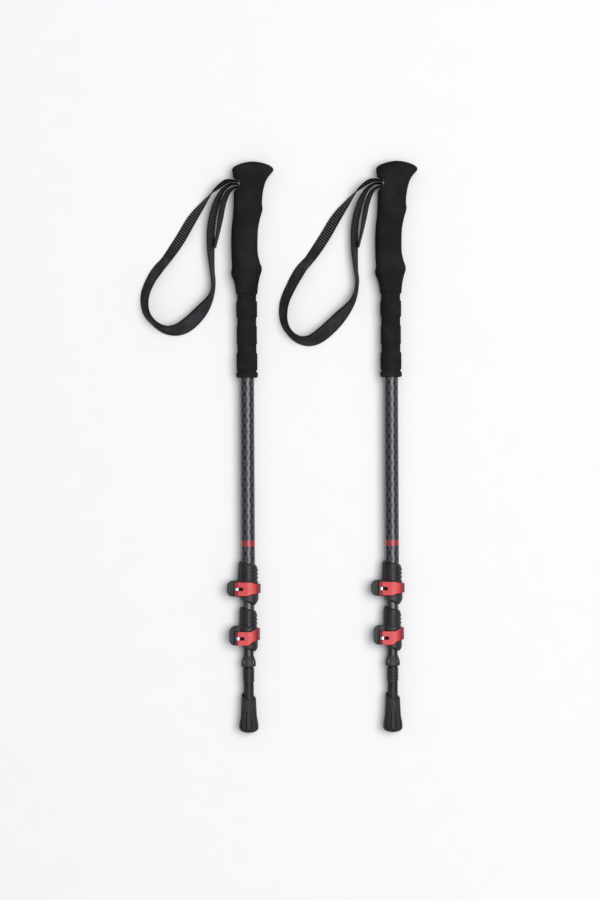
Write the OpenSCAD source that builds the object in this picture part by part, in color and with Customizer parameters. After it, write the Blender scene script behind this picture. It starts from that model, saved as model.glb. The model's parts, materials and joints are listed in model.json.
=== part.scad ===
// A pair of three-section trekking poles, collapsed and laid flat side by side.
// Each pole is drawn upright along its own axis, z measured up from the foot of the rubber boot,
// x towards the front of the grip and -y towards the side that faces up when it lies down.

/* [Pair] */
// Distance between the axes of the two poles
pole_spacing = 164; // [160:1:220]

/* [Tubes] */
// Outer diameter of the upper tube
upper_tube_d = 16; // [15.8:0.1:17]
// Outer diameter of the middle tube
middle_tube_d = 14; // [13.5:0.1:14.1]
// Outer diameter of the lower tube
lower_tube_d = 12; // [11.5:0.1:12.1]
// Wall of all three tubes
tube_wall = 0.85; // [0.6:0.05:0.88]
// Length of upper tube that shows between its clamp and the foam
shaft_show = 211; // [150:1:260]
// Length of middle tube that shows between the two clamps
middle_show = 7; // [5:1:30]
// Length of lower tube that shows between its clamp and the tip
lower_show = 8; // [6:1:30]
// Distance from the upper end of the upper tube to the strap pin
tube_to_pin = 12.4; // [10:0.2:24]
// Room left above the middle tube inside the upper one
middle_headroom = 17; // [15:1:60]
// Room left above the lower tube inside the middle one
lower_headroom = 25; // [18:1:60]

/* [Grip] */
// Length of the moulded foam grip
grip_len = 151; // [145:1:170]
// Half of the grip's greatest thickness, side to side
grip_half_depth = 14; // [13.5:0.5:16]
// Reach of the head's beak in front of the pole's axis
beak_reach = 31.4; // [26:0.2:36]
// Height of the domed top of the head
dome_h = 9.5; // [7:0.5:14]
// Length of the foam sleeve below the grip
sleeve_len = 95; // [80:1:130]
// Diameter of the sleeve at its bands
sleeve_band_d = 23.4; // [22.4:0.2:26]
// Diameter of the sleeve in its grooves
sleeve_groove_d = 21.6; // [20:0.2:22.2]
// Diameter of the lip at the sleeve's lower end
sleeve_lip_d = 24.6; // [23.4:0.2:27]

/* [Strap] */
// Width of the woven strap
web_w = 15; // [10:0.5:15.2]
// Thickness of the woven strap
web_t = 1.6; // [1:0.1:1.8]
// Width of the padded part of the strap
pad_w = 21; // [16:0.5:21]
// Thickness of the padded part of the strap
pad_t = 3.6; // [2.4:0.2:4]
// Diameter of the steel pin across the strap slot
strap_pin_d = 2.5; // [2:0.1:3]
// Depth of the strap pin below the top of the head
strap_pin_drop = 25.6; // [24:0.2:28]

/* [Upper clamp] */
// Outer diameter of the upper clamp's barrel
upper_collar_d = 21; // [20:0.2:22]
// Height of the upper clamp
upper_collar_h = 45; // [40:1:60]
// Height of the lever's middle above the foot of the upper clamp
upper_lock_up = 15.6; // [13.6:0.2:18]
// Height of the upper clamp's ears
upper_ear_h = 18; // [16.5:0.5:20]
// Height of the ears' middle above the lever's middle, upper clamp
upper_ear_shift = 0.4; // [-0.4:0.2:1]
// Reach of the upper clamp's ears beyond its barrel
upper_ear_reach = 13.4; // [12:0.2:15]
// Reach of the split's lips beyond the upper barrel
upper_lip_reach = 2.2; // [1.4:0.2:3]
// Width of the upper lever at its tip
upper_lever_tip_w = 10.4; // [8:0.2:12.8]
// Rise of the upper lever's tip towards the grip
upper_lever_sweep = 0.6; // [0:0.2:4]

/* [Lower clamp] */
// Outer diameter of the lower clamp's barrel
lower_collar_d = 19; // [18:0.2:20]
// Height of the lower clamp
lower_collar_h = 46; // [40:1:60]
// Height of the lever's middle above the foot of the lower clamp
lower_lock_up = 12.4; // [11:0.2:16]
// Height of the lower clamp's ears
lower_ear_h = 22; // [20:0.5:26]
// Height of the ears' middle above the lever's middle, lower clamp
lower_ear_shift = 3; // [1:0.2:4]
// Reach of the lower clamp's ears beyond its barrel
lower_ear_reach = 12; // [11:0.2:15]
// Reach of the split's lips beyond the lower barrel
lower_lip_reach = 0.8; // [0.6:0.2:3]
// Width of the lower lever at its tip
lower_lever_tip_w = 13.2; // [8:0.2:13.4]
// Rise of the lower lever's tip towards the grip
lower_lever_sweep = 5.2; // [0:0.2:6]

/* [Both clamps] */
// Half of the thickness of the two ears together
ear_half = 5.7; // [5:0.1:6.2]
// Width of the split in the barrel
split_w = 1.2; // [0.8:0.1:2]
// Distance of the bolt from the barrel
bolt_out = 2; // [1.9:0.1:2.6]
// Diameter of the clamp bolt
bolt_d = 3.2; // [2.6:0.1:3.4]
// Diameter of the bolt's eye
eye_d = 5.8; // [5.2:0.1:6.2]
// Width of the bolt's eye
eye_w = 3.4; // [2.8:0.1:4]
// Diameter of the lever's pin
lever_pin_d = 3; // [2.4:0.1:3.2]
// Reach of the cam from the pin when the lever is shut
cam_reach = 3.5; // [3.3:0.1:4]
// Amount by which the cam lets go when the lever opens
cam_throw = 0.35; // [0.2:0.05:0.5]
// Thickness of the lever's arm
lever_t = 3.2; // [2.4:0.1:4]
// Width of the lever at its cam
lever_w = 15.4; // [13:0.2:16]
// Diameter of the thumb nut
nut_d = 9.2; // [8.4:0.2:10]

/* [Tip] */
// Height of the rubber boot up to the middle of its rim
boot_h = 40; // [36:1:48]
// Diameter of the rubber boot at its foot
boot_d = 22; // [19:0.2:24]
// Number of flutes round the boot
flute_count = 10; // [6:1:12]
// Length of smooth ferrule between the boot and the basket thread
nose_show = 19; // [12:1:30]
// Diameter of the smooth ferrule
nose_d = 11.6; // [10:0.2:11.6]
// Length of the ridged thread for a basket
thread_len = 15; // [12:0.5:24]
// Outer diameter of the basket thread
thread_d = 13.4; // [12.2:0.1:14]
// Number of ridges on the basket thread
thread_ridges = 6; // [4:1:8]
// Height of the bell that stops the basket
stop_h = 12; // [10:1:18]
// Diameter of the bell at its foot
stop_d = 17; // [16.4:0.2:20]
// Diameter of the carbide point
carbide_d = 5; // [4:0.2:6]

/* [Hidden] */
$fn = 64;
overlap = 0.01;
far = 60;

// Clearances
slide_gap = 0.15;
seat_gap = 0.05;
run_gap = 0.05;
free_gap = 0.3;
lever_gap = 0.5;

// Radii
upper_r = upper_tube_d / 2;
middle_r = middle_tube_d / 2;
lower_r = lower_tube_d / 2;
upper_bore_r = upper_r - tube_wall;
middle_bore_r = middle_r - tube_wall;
lower_bore_r = lower_r - tube_wall;

// Heights of the stacked parts, from the foot of the boot up
thread_z = boot_h + nose_show;
thread_gap = 1.5;
stop_z = thread_z + thread_len + thread_gap;
stop_top_z = stop_z + stop_h;
lower_collar_z = stop_top_z + lower_show;
lower_lock_z = lower_collar_z + lower_lock_up;
upper_collar_z = lower_collar_z + lower_collar_h + middle_show;
upper_lock_z = upper_collar_z + upper_lock_up;
sleeve_z = upper_collar_z + upper_collar_h + shaft_show;
grip_z = sleeve_z + sleeve_len;
pole_len = grip_z + grip_len;
slot_z = pole_len - strap_pin_drop;

// Ends of the tubes
tube_seat = 8;
upper_tube_z = upper_collar_z + tube_seat;
upper_tube_top = slot_z - tube_to_pin;
middle_tube_z = lower_collar_z + tube_seat;
middle_tube_top = upper_tube_top - middle_headroom;
lower_tube_z = stop_z + 2;
lower_tube_top = middle_tube_top - lower_headroom;
clamp_slit_len = 30;

// Place of the pair: the axes lie level, the box round the two poles is centred on the origin
axis_h = grip_half_depth;
ear_end = upper_collar_d / 2 + upper_ear_reach;
centre_x = (ear_end - beak_reach) / 2;
left_x = centre_x - pole_spacing / 2;
right_x = centre_x + pole_spacing / 2;

// Lays a pole drawn upright on its side, with its axis at x
module lay(x) {
    translate([x, -pole_len / 2, axis_h])
        rotate([-90, 0, 0])
            children();
}

module left_pole() {
    lay(left_x) children();
}

module right_pole() {
    lay(right_x) children();
}

// Foam grip
// Outline stations run from 0 at the grip's foot to 1 at the widest part of the head.
grip_back = [
    [0, -12], [0.06, -12.9], [0.11, -14.6], [0.165, -17.6], [0.22, -16.6], [0.3, -17],
    [0.42, -17.3], [0.54, -16.6], [0.63, -15.2], [0.72, -14.4], [0.86, -14], [0.95, -14.8], [1, -16]
];
grip_front = [
    [0, 12.3], [0.08, 13.4], [0.14, 15.2], [0.205, 17.6], [0.26, 15.2], [0.33, 13.1],
    [0.42, 12.8], [0.53, 13.6], [0.61, 15.8], [0.685, 18.7], [0.73, 18.1], [0.82, 19.2],
    [0.9, 22], [0.945, 25.4], [0.975, 29], [0.99, 30.8], [1, beak_reach]
];
grip_side = [
    [0, 0.86], [0.165, 0.985], [0.28, 0.95], [0.45, 1], [0.6, 0.95], [0.72, 0.93],
    [0.86, 0.94], [1, 0.98]
];
grip_rings = 34;
grip_sides = 24;
dome_rings = 6;
section_power = 0.88;
dome_power = 1.25;
dome_side_power = 0.7;
dome_sweep = 86;
head_z = grip_z + grip_len - dome_h;

// Slope of a station list at one of its points
function station_slope(p, i) =
    let (a = max(i - 1, 0), b = min(i + 1, len(p) - 1))
    (p[b][1] - p[a][1]) / (p[b][0] - p[a][0]);

// Last station at or before s
function station_at(p, s) = max([for (i = [0 : len(p) - 2]) if (p[i][0] <= s) i]);

// Smooth curve through a station list
function along(p, s) =
    let (
        i = station_at(p, s),
        step = p[i + 1][0] - p[i][0],
        u = (s - p[i][0]) / step,
        from = p[i][1],
        to = p[i + 1][1],
        m0 = station_slope(p, i) * step,
        m1 = station_slope(p, i + 1) * step
    )
    (2 * u ^ 3 - 3 * u ^ 2 + 1) * from + (u ^ 3 - 2 * u ^ 2 + u) * m0
    + (3 * u ^ 2 - 2 * u ^ 3) * to + (u ^ 3 - u ^ 2) * m1;

// Power of a sine or cosine that keeps its sign
function soft(v, power) = sign(v) * abs(v) ^ power;

// One closed section of the grip, from its back, front and half depth
function grip_section(back, front, half_depth, z) = [
    for (k = [0 : grip_sides - 1])
        let (a = 360 * k / grip_sides)
        [
            (front + back) / 2 + (front - back) / 2 * soft(cos(a), section_power),
            half_depth * soft(sin(a), section_power),
            z
        ]
];

grip_body_sections = [
    for (i = [0 : grip_rings])
        let (s = i / grip_rings)
        grip_section(
            along(grip_back, s), along(grip_front, s), grip_half_depth * along(grip_side, s),
            grip_z + s * (head_z - grip_z)
        )
];
head_back = grip_back[len(grip_back) - 1][1];
head_mid = (beak_reach + head_back) / 2;
head_half = (beak_reach - head_back) / 2;
head_side = grip_half_depth * grip_side[len(grip_side) - 1][1];
grip_dome_sections = [
    for (i = [1 : dome_rings])
        let (a = dome_sweep * i / dome_rings, half = head_half * cos(a) ^ dome_power)
        grip_section(
            head_mid - half, head_mid + half, head_side * cos(a) ^ dome_side_power,
            head_z + dome_h * sin(a) / sin(dome_sweep)
        )
];

// Closed solid through a list of sections with equal point counts
module loft(sections) {
    n = len(sections[0]);
    m = len(sections);
    side_faces = [
        for (i = [0 : m - 2], k = [0 : n - 1])
            let (a = i * n + k, b = i * n + (k + 1) % n)
            each [[a, a + n, b], [b, a + n, b + n]]
    ];
    first = [for (k = [0 : n - 1]) k];
    last = [for (k = [n - 1 : -1 : 0]) (m - 1) * n + k];
    polyhedron(points = [for (s = sections) each s], faces = concat(side_faces, [first, last]));
}

// Wedge-shaped strap opening in the back of the grip, seen from the side
notch_mouth = 22;
notch_end = 5.5;
notch_outline = [
    [-notch_mouth, 9.5], [-10, 6], [-notch_end, 4.2], [-notch_end, -4], [-10, -6.2], [-notch_mouth, -12]
];

// Block at the top of the grip core, round which the foam is moulded
core_back = 9.5;
core_front = 9;
core_half = 9.6;
core_round = 12.4;
core_top = 9.6;
core_z = upper_tube_top;

module core_block(gap) {
    intersection() {
        translate([-core_back - gap, -core_half - gap, core_z])
            cube([core_back + core_front + 2 * gap, 2 * (core_half + gap), slot_z + core_top + gap - core_z]);
        translate([0, 0, core_z])
            cylinder(r = core_round + gap, h = slot_z + core_top + gap - core_z);
    }
}

module foam_grip() {
    color([0.13, 0.13, 0.14])
        difference() {
            loft(concat(grip_body_sections, grip_dome_sections));
            translate([0, 0, grip_z - overlap])
                cylinder(r = upper_r + seat_gap, h = core_z - grip_z + 2 * overlap);
            core_block(seat_gap);
            translate([0, far / 2, slot_z])
                rotate([90, 0, 0])
                    linear_extrude(far)
                        polygon(notch_outline);
        }
}

// Foam sleeve: bands and grooves below the grip, as [drop of the groove's top, length of the groove]
lip_groove = [86.5, 2.5];
sleeve_grooves = [[0, 8], [26.5, 10], [57, 10], lip_groove];
sleeve_edge = 0.6;

module foam_sleeve() {
    band_r = sleeve_band_d / 2;
    color([0.14, 0.14, 0.15])
        difference() {
            union() {
                translate([0, 0, sleeve_z])
                    cylinder(r = band_r, h = sleeve_len);
                translate([0, 0, sleeve_z])
                    cylinder(r = sleeve_lip_d / 2, h = sleeve_len - lip_groove[0] - lip_groove[1]);
            }
            for (g = sleeve_grooves) {
                translate([0, 0, grip_z - g[0] - g[1]])
                    groove_cutter(sleeve_groove_d / 2, band_r, g[1]);
            }
            translate([0, 0, sleeve_z - overlap])
                cylinder(r = upper_r + seat_gap, h = sleeve_len + 2 * overlap);
        }
}

// Ring that cuts a groove with sloping sides
module groove_cutter(floor_r, band_r, h) {
    out_r = band_r + sleeve_lip_d - sleeve_band_d + sleeve_edge;
    lean = sleeve_edge * (out_r - floor_r) / (band_r - floor_r);
    rotate_extrude()
        polygon([[floor_r, sleeve_edge], [out_r, sleeve_edge - lean], [out_r, h - sleeve_edge + lean],
            [floor_r, h - sleeve_edge]]);
}

// Grip core: a plug in the tube's top end with a slotted head for the strap
core_plug_len = 10;
strap_slot_half = 7.8;
strap_slot_low = 6.2;
strap_slot_high = 6.4;
strap_slot_end = 2.5;
strap_pin_x = -7.5;

module grip_core() {
    color([0.09, 0.09, 0.1])
        difference() {
            union() {
                core_block(0);
                translate([0, 0, core_z - core_plug_len])
                    cylinder(r = upper_bore_r - seat_gap, h = core_plug_len + overlap);
            }
            translate([-core_back - 1, -strap_slot_half, slot_z - strap_slot_low])
                cube([core_back + 1 + strap_slot_end, 2 * strap_slot_half, strap_slot_low + strap_slot_high]);
            translate([strap_pin_x, 0, slot_z])
                rotate([90, 0, 0])
                    cylinder(d = strap_pin_d, h = far, center = true);
        }
}

module strap_pin() {
    color([0.75, 0.76, 0.78])
        translate([strap_pin_x, 0, slot_z])
            rotate([90, 0, 0])
                cylinder(d = strap_pin_d, h = 2 * core_half, center = true);
}

// Wedge that jams the strap against the end of its slot
web_start = -3.4;
wedge_face = web_start + seat_gap;
wedge_lead = 1.6;

module strap_wedge() {
    low = -strap_slot_low + free_gap;
    high = strap_slot_high - free_gap;
    back = strap_slot_end - seat_gap;
    color([0.1, 0.1, 0.11])
        translate([0, strap_slot_half - free_gap, slot_z])
            rotate([90, 0, 0])
                linear_extrude(2 * (strap_slot_half - free_gap))
                    polygon([[wedge_face, low], [back, low + wedge_lead], [back, high - wedge_lead],
                        [wedge_face, high]]);
}

// Strap
// Route points are [x, drop below the pole's axis, height above the strap pin, lean of the top edge].
// The loop leaves the slot, runs out to the pad, round it, and back to the pin.
strap_out_route = [
    [web_start, 0, 3, 0], [-9, 0, 3.4, 0], [-16, 0, 4, -5], [-24, 0.5, 2.4, -16], [-34, 2, -4.6, -12],
    [-40, 3.5, -10.4, 0], [-49.2, 5, -21.8, 26], [-61.8, 6.6, -38.8, 48], [-76, 9, -62, 55],
    [-91, 8, -84, 48]
];
left_pad_route = [
    [-101, 5.5, -96, 36], [-109.5, 4.4, -109, 31], [-116, 3.8, -126, 27], [-115, 3, -144, 20],
    [-106, 2.7, -157, 13], [-93, 3, -165, 20], [-79, 4, -165, 35], [-66, 4.8, -158, 45],
    [-52, 4.5, -144, 38], [-41, 3, -128, 14]
];
right_pad_route = [
    [-102, 5.5, -97, 36], [-112.5, 4.4, -115, 31], [-121, 3.8, -135, 27], [-122, 3, -154, 20],
    [-116, 2.7, -168, 13], [-105, 3, -177, 18], [-91, 3.8, -178, 33], [-77, 4.8, -170, 45],
    [-59, 4.5, -153, 40], [-43, 3, -133, 15]
];
strap_back_route = [
    [-37.9, 4.5, -113, 15], [-39.2, 5.5, -97, 18], [-40.7, 6, -74, 31], [-40.3, 5.5, -49, 33],
    [-35.9, 4, -27, 28], [-29.4, 2, -11, 17], [-24, 0.9, -4.4, 10], [-17.5, 0.2, -0.2, 3],
    [-13, 0, 0.4, 0], [-9.1, 0, 0, 0]
];
strap_tail_route = [
    [web_start, 0, -3, 0], [-9, 0, -3.2, 0], [-15.5, 0.2, -4.8, -4], [-21.5, 1, -10.5, -16],
    [-26.3, 2.7, -22.5, -21], [-29.4, 4.5, -38, -20], [-32.6, 5.6, -55, -12], [-36.3, 6, -71.5, -6]
];
route_steps = 2;
pad_taper = 0.12;

// Smooth curve through four route points, u from 0 at the second to 1 at the third
function route_point(a, b, c, d, u) =
    (2 * b + (c - a) * u + (2 * a - 5 * b + 4 * c - d) * u ^ 2 + (3 * b - a - 3 * c + d) * u ^ 3) / 2;

// Points of the smooth route between two of its own points
function route_points(route, first, last) = [
    for (i = [first : last - 1], k = [0 : route_steps - 1])
        route_point(route[max(i - 1, 0)], route[i], route[i + 1], route[min(i + 2, len(route) - 1)],
            k / route_steps),
    route[last]
];

function route_place(p) = [p[0], p[1], slot_z + p[2]];

function unit(v) = v / norm(v);

// Direction of the route at point i, taken over the whole loop so that pieces meet face to face
function route_heading(points, i) =
    unit(route_place(points[min(i + 1, len(points) - 1)]) - route_place(points[max(i - 1, 0)]));

// Eight-sided flat section of a strap
function strap_section(p, heading, half_w, half_t) =
    let (
        up = [0, -1, 0],
        inward = unit(cross(up, heading)),
        wide = unit(cos(p[3]) * up + sin(p[3]) * inward),
        thick = unit(cross(heading, wide)),
        edge = half_t * 0.6,
        corners = [
            [half_w, half_t - edge], [half_w - edge, half_t], [edge - half_w, half_t],
            [-half_w, half_t - edge], [-half_w, edge - half_t], [edge - half_w, -half_t],
            [half_w - edge, -half_t], [half_w, edge - half_t]
        ]
    )
    [for (c = corners) route_place(p) + c[0] * wide + c[1] * thick];

// Share of the pad's extra width at s, from 0 at its sewn ends to 1 over its length
function pad_swell(s) =
    let (u = min(1, min(s, 1 - s) / pad_taper))
    u * u * (3 - 2 * u);

// Stretch of strap between two points of a route, with its pad's swelling if it has one
module strap_stretch(route, first, last, extra_w, extra_t) {
    points = route_points(route, 0, len(route) - 1);
    from = first * route_steps;
    to = last * route_steps;
    loft([
        for (i = [from : to])
            let (swell = pad_swell((i - from) / (to - from)))
            strap_section(points[i], route_heading(points, i),
                (web_w + extra_w * swell) / 2, (web_t + extra_t * swell) / 2)
    ]);
}

pad_first = len(strap_out_route) - 1;
pad_last = pad_first + len(left_pad_route) + 1;
loop_last = pad_last + len(strap_back_route) - 1;
left_loop = concat(strap_out_route, left_pad_route, strap_back_route);
right_loop = concat(strap_out_route, right_pad_route, strap_back_route);

module strap_outer_web(loop) {
    color([0.12, 0.12, 0.13]) strap_stretch(loop, 0, pad_first, 0, 0);
}

module strap_pad(loop) {
    color([0.19, 0.19, 0.21]) strap_stretch(loop, pad_first, pad_last, pad_w - web_w, pad_t - web_t);
}

module strap_return_web(loop) {
    color([0.12, 0.12, 0.13]) strap_stretch(loop, pad_last, loop_last, 0, 0);
}

module strap_tail() {
    color([0.12, 0.12, 0.13]) strap_stretch(strap_tail_route, 0, len(strap_tail_route) - 1, 0, 0);
}

// Tubes
module tube(outer_r, bore_r, low, high) {
    translate([0, 0, low])
        difference() {
            cylinder(r = outer_r, h = high - low);
            translate([0, 0, -overlap])
                cylinder(r = bore_r, h = high - low + 2 * overlap);
        }
}

// Slit at the lower end of a tube, where the clamp closes it
module clamp_slit(z) {
    translate([-far, -split_w / 2, z - overlap])
        cube([far, split_w, clamp_slit_len]);
}

module upper_tube() {
    color([0.2, 0.2, 0.22])
        difference() {
            tube(upper_r, upper_bore_r, upper_tube_z, upper_tube_top);
            clamp_slit(upper_tube_z);
        }
}

module middle_tube() {
    color([0.24, 0.24, 0.26])
        difference() {
            tube(middle_r, middle_bore_r, middle_tube_z, middle_tube_top);
            clamp_slit(middle_tube_z);
        }
}

module lower_tube() {
    color([0.24, 0.24, 0.26]) tube(lower_r, lower_bore_r, lower_tube_z, lower_tube_top);
}

// Guide bush: a plug in the top of a sliding tube with a flange that runs in the tube round it
bush_flange = 4;
bush_plug = 10;

module guide_bush(bore_r, guide_r, z) {
    color([0.1, 0.1, 0.1])
        difference() {
            union() {
                translate([0, 0, z])
                    cylinder(r = guide_r - run_gap, h = bush_flange);
                translate([0, 0, z - bush_plug])
                    cylinder(r = bore_r - seat_gap, h = bush_plug + overlap);
            }
            translate([0, 0, z - bush_plug - overlap])
                cylinder(r = bore_r / 2, h = bush_plug + bush_flange + 2 * overlap);
        }
}

module middle_bush() {
    guide_bush(middle_bore_r, upper_bore_r, middle_tube_top);
}

module lower_bush() {
    guide_bush(lower_bore_r, middle_bore_r, lower_tube_top);
}

// Clamp collars
top_slant = 15;
foot_slant = 20;
rim_chamfer = 1.2;
foot_chamfer = 2.2;
foot_bevel = 56;
foot_bevel_x = 9.6;
rib_count = 3;
rib_pitch = 4.4;
rib_r = 1.9;
rib_rise = 0.9;
rib_arc = 150;
rib_drop = 8;
ear_round = 6.5;
guard_t = 4.6;
guard_rise = 2.6;
lip_half = 2.4;
lip_root = 2;
lip_end = 0.4;
frame_rise = 1.2;
frame_taper = 2;
recess_low = 4;
collar_room = 10;

// Cone that trims one slanted rim of a barrel and takes its sharp edge off
module rim_trim(r, slant, chamfer) {
    out_r = r + far;
    rotate([0, slant, 0])
        rotate_extrude()
            polygon([
                [0, -2 * far], [out_r, -2 * far], [out_r, -chamfer - far], [r - chamfer, 0], [0, 0]
            ]);
}

// Barrel of a clamp with both rims slanted, higher at the split, and a thicker foot round the lever
module clamp_barrel(r, z, h, lock_z, frame_top, sweep, tip_w) {
    foot_r = r + frame_rise;
    intersection() {
        difference() {
            rotate_extrude()
                polygon([
                    [0, z - collar_room], [foot_r, z - collar_room], [foot_r, frame_top - frame_taper],
                    [r, frame_top], [r, z + h + collar_room], [0, z + h + collar_room]
                ]);
            lever_recess(r, lock_z, sweep, tip_w);
            translate([foot_bevel_x, 0, z])
                rotate([0, -foot_bevel, 0])
                    translate([-far / 2, -far / 2, -far])
                        cube(far);
        }
        translate([0, 0, z + h])
            rim_trim(r, top_slant, rim_chamfer);
        translate([0, 0, z])
            rotate([0, foot_slant, 0])
                mirror([0, 0, 1])
                    rim_trim(foot_r, 0, foot_chamfer);
    }
}

// Recess of the thicker foot, in which the shut lever lies
module lever_recess(r, lock_z, sweep, tip_w) {
    difference() {
        translate([0, recess_low, lock_z])
            rotate([90, 0, 0])
                linear_extrude(far)
                    polygon(lever_points(r, sweep, tip_w, lever_gap));
        translate([0, 0, lock_z - far])
            cylinder(r = r, h = 2 * far);
    }
}

// Lips along the split above the ears, tapered towards the upper rim
module split_lips(r, low, high, reach) {
    translate([0, lip_half, 0])
        rotate([90, 0, 0])
            linear_extrude(2 * lip_half)
                polygon([[lip_root - r, low], [-r - reach, low], [-r - lip_end, high], [lip_root - r, high]]);
}

// Half-round grip ribs on the front of a barrel
module clamp_ribs(r, top) {
    for (i = [0 : rib_count - 1]) {
        translate([0, 0, top - rib_drop - i * rib_pitch])
            rotate([0, 0, -rib_arc / 2])
                rotate_extrude(angle = rib_arc)
                    translate([r + rib_rise - rib_r, 0])
                        circle(r = rib_r, $fn = 24);
    }
}

// Outline of the ears from the side, with round outer corners
module ear_outline(end, h) {
    translate([-end + ear_round, -h / 2])
        square([end - ear_round, h]);
    translate([-end, ear_round - h / 2])
        square([ear_round + overlap, h - 2 * ear_round]);
    for (side = [-1, 1]) {
        translate([-end + ear_round, side * (h / 2 - ear_round)])
            circle(r = ear_round);
    }
}

// Both ears as one block, with the guard that stands in front of the lever's cam
module ears(end, h) {
    translate([0, ear_half, 0])
        rotate([90, 0, 0])
            linear_extrude(2 * ear_half)
                ear_outline(end, h);
    translate([0, -ear_half + overlap, 0])
        rotate([90, 0, 0])
            linear_extrude(guard_rise + overlap)
                intersection() {
                    ear_outline(end, h);
                    translate([-end - 1, -h / 2])
                        square([guard_t + 1, h]);
                }
}

module clamp_collar(
    r, z, h, outer_r, inner_r, lock_z, ear_h, ear_shift, ear_reach, lip_reach, sweep, tip_w
) {
    bolt_x = r + bolt_out;
    color([0.08, 0.08, 0.09])
        difference() {
            union() {
                clamp_barrel(r, z, h, lock_z, lock_z + ear_shift + ear_h / 2, sweep, tip_w);
                clamp_ribs(r, z + h);
                split_lips(r, lock_z, z + h, lip_reach);
                translate([0, 0, lock_z + ear_shift])
                    ears(r + ear_reach, ear_h);
            }
            translate([0, 0, z + tube_seat])
                cylinder(r = outer_r + seat_gap, h = h + collar_room);
            translate([0, 0, z - collar_room])
                cylinder(r = inner_r + slide_gap, h = h + collar_room);
            translate([-far, -split_w / 2, z - collar_room])
                cube([far, split_w, h + 2 * collar_room]);
            translate([-bolt_x, 0, lock_z])
                rotate([90, 0, 0])
                    cylinder(d = bolt_d + 2 * slide_gap, h = far, center = true);
            translate([-bolt_x, ear_half, lock_z])
                rotate([-90, 0, 0])
                    cylinder(d = nut_d + 2 * free_gap, h = far);
        }
}

module upper_collar() {
    clamp_collar(upper_collar_d / 2, upper_collar_z, upper_collar_h, upper_r, middle_r, upper_lock_z,
        upper_ear_h, upper_ear_shift, upper_ear_reach, upper_lip_reach, upper_lever_sweep, upper_lever_tip_w);
}

module lower_collar() {
    clamp_collar(lower_collar_d / 2, lower_collar_z, lower_collar_h, middle_r, lower_r, lower_lock_z,
        lower_ear_h, lower_ear_shift, lower_ear_reach, lower_lip_reach, lower_lever_sweep, lower_lever_tip_w);
}

// Height of the lever's pin above the pole's axis
pin_rise = ear_half + free_gap + cam_reach;

// Clamp bolt: an eye round the lever's pin and a shank through both ears into the nut
bolt_end_gap = 0.8;

module clamp_bolt(r, lock_z) {
    color([0.8, 0.8, 0.82])
        translate([-r - bolt_out, 0, lock_z])
            difference() {
                union() {
                    translate([0, -pin_rise, -eye_w / 2])
                        cylinder(d = eye_d, h = eye_w);
                    translate([0, -pin_rise, 0])
                        rotate([-90, 0, 0])
                            cylinder(d = bolt_d, h = pin_rise + axis_h - bolt_end_gap);
                }
                translate([0, -pin_rise, -eye_w])
                    cylinder(d = lever_pin_d + 2 * run_gap, h = 2 * eye_w);
            }
}

module upper_bolt() {
    clamp_bolt(upper_collar_d / 2, upper_lock_z);
}

module lower_bolt() {
    clamp_bolt(lower_collar_d / 2, lower_lock_z);
}

// Cam levers
lever_tip_turn = 6;
lever_fill_turn = -92;
lever_rise_from = 3.5;
lever_rise_to = 9.6;
lever_bend_x = 4.5;
lever_bend_share = 0.6;
lever_slot_len = 10.5;
lever_corner = 2.2;

// Quadrilateral between two circles, with its long sides tangent to both
function tangent_band(a, a_r, b, b_r) =
    let (
        way = b - a,
        turn = atan2(way[1], way[0]),
        open = acos((a_r - b_r) / norm(way)),
        one = [cos(turn + open), sin(turn + open)],
        two = [cos(turn - open), sin(turn - open)]
    )
    [a + a_r * one, a + a_r * two, b + b_r * two, b + b_r * one];

// Section of a lever across the pole: an arm round the barrel, an off-centre cam at its pin,
// and a flat fill that carries the arm's outer face on to the cam
module lever_section(r) {
    arm_in = r + lever_gap;
    arm_out = arm_in + lever_t;
    arm_mid = arm_in + lever_t / 2;
    pin_x = -r - bolt_out;
    pin_turn = atan2(-pin_rise, pin_x);
    reach = 2 * arm_out;
    sweep_step = (lever_tip_turn - pin_turn) / 4;
    cam_mid = [pin_x, cam_throw - pin_rise];
    cam_r = cam_reach - cam_throw;
    fill_end = arm_mid * [cos(lever_fill_turn), sin(lever_fill_turn)];
    difference() {
        polygon(tangent_band(cam_mid, cam_r, fill_end, lever_t / 2));
        circle(r = arm_in);
    }
    intersection() {
        difference() {
            circle(r = arm_out);
            circle(r = arm_in);
        }
        polygon(concat([[0, 0]], [
            for (i = [0 : 4])
                let (a = pin_turn + i * sweep_step)
                reach * [cos(a), sin(a)]
        ]));
    }
    translate(cam_mid)
        circle(r = cam_r);
}

// Corners of a lever seen from above, grown by gap: wide at the cam, bent to a tip raised by sweep
function lever_points(r, sweep, tip_w, gap) =
    let (
        wide = lever_w / 2,
        low = sweep - tip_w / 2 - gap,
        high = sweep + tip_w / 2 + gap,
        bend = lever_bend_share * (wide + sweep - tip_w / 2) - wide - gap,
        tip_x = r + lever_gap + lever_t + 1 + gap,
        back = -r - bolt_out - cam_reach - gap
    )
    [
        [back, -wide - gap], [0, -wide - gap], [lever_bend_x, bend], [tip_x, low],
        [tip_x, high], [lever_rise_to, high], [lever_rise_from, wide + gap], [back, wide + gap]
    ];

// Outline of a lever from above, with the corners at its cam rounded
module lever_outline(r, sweep, tip_w) {
    wide = lever_w / 2;
    back = r + bolt_out + cam_reach;
    difference() {
        polygon(lever_points(r, sweep, tip_w, 0));
        for (side = [-1, 1]) {
            translate([-back, side * wide])
                difference() {
                    square(2 * lever_corner, center = true);
                    translate([lever_corner, -side * lever_corner])
                        circle(r = lever_corner, $fn = 32);
                }
        }
    }
}

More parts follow.
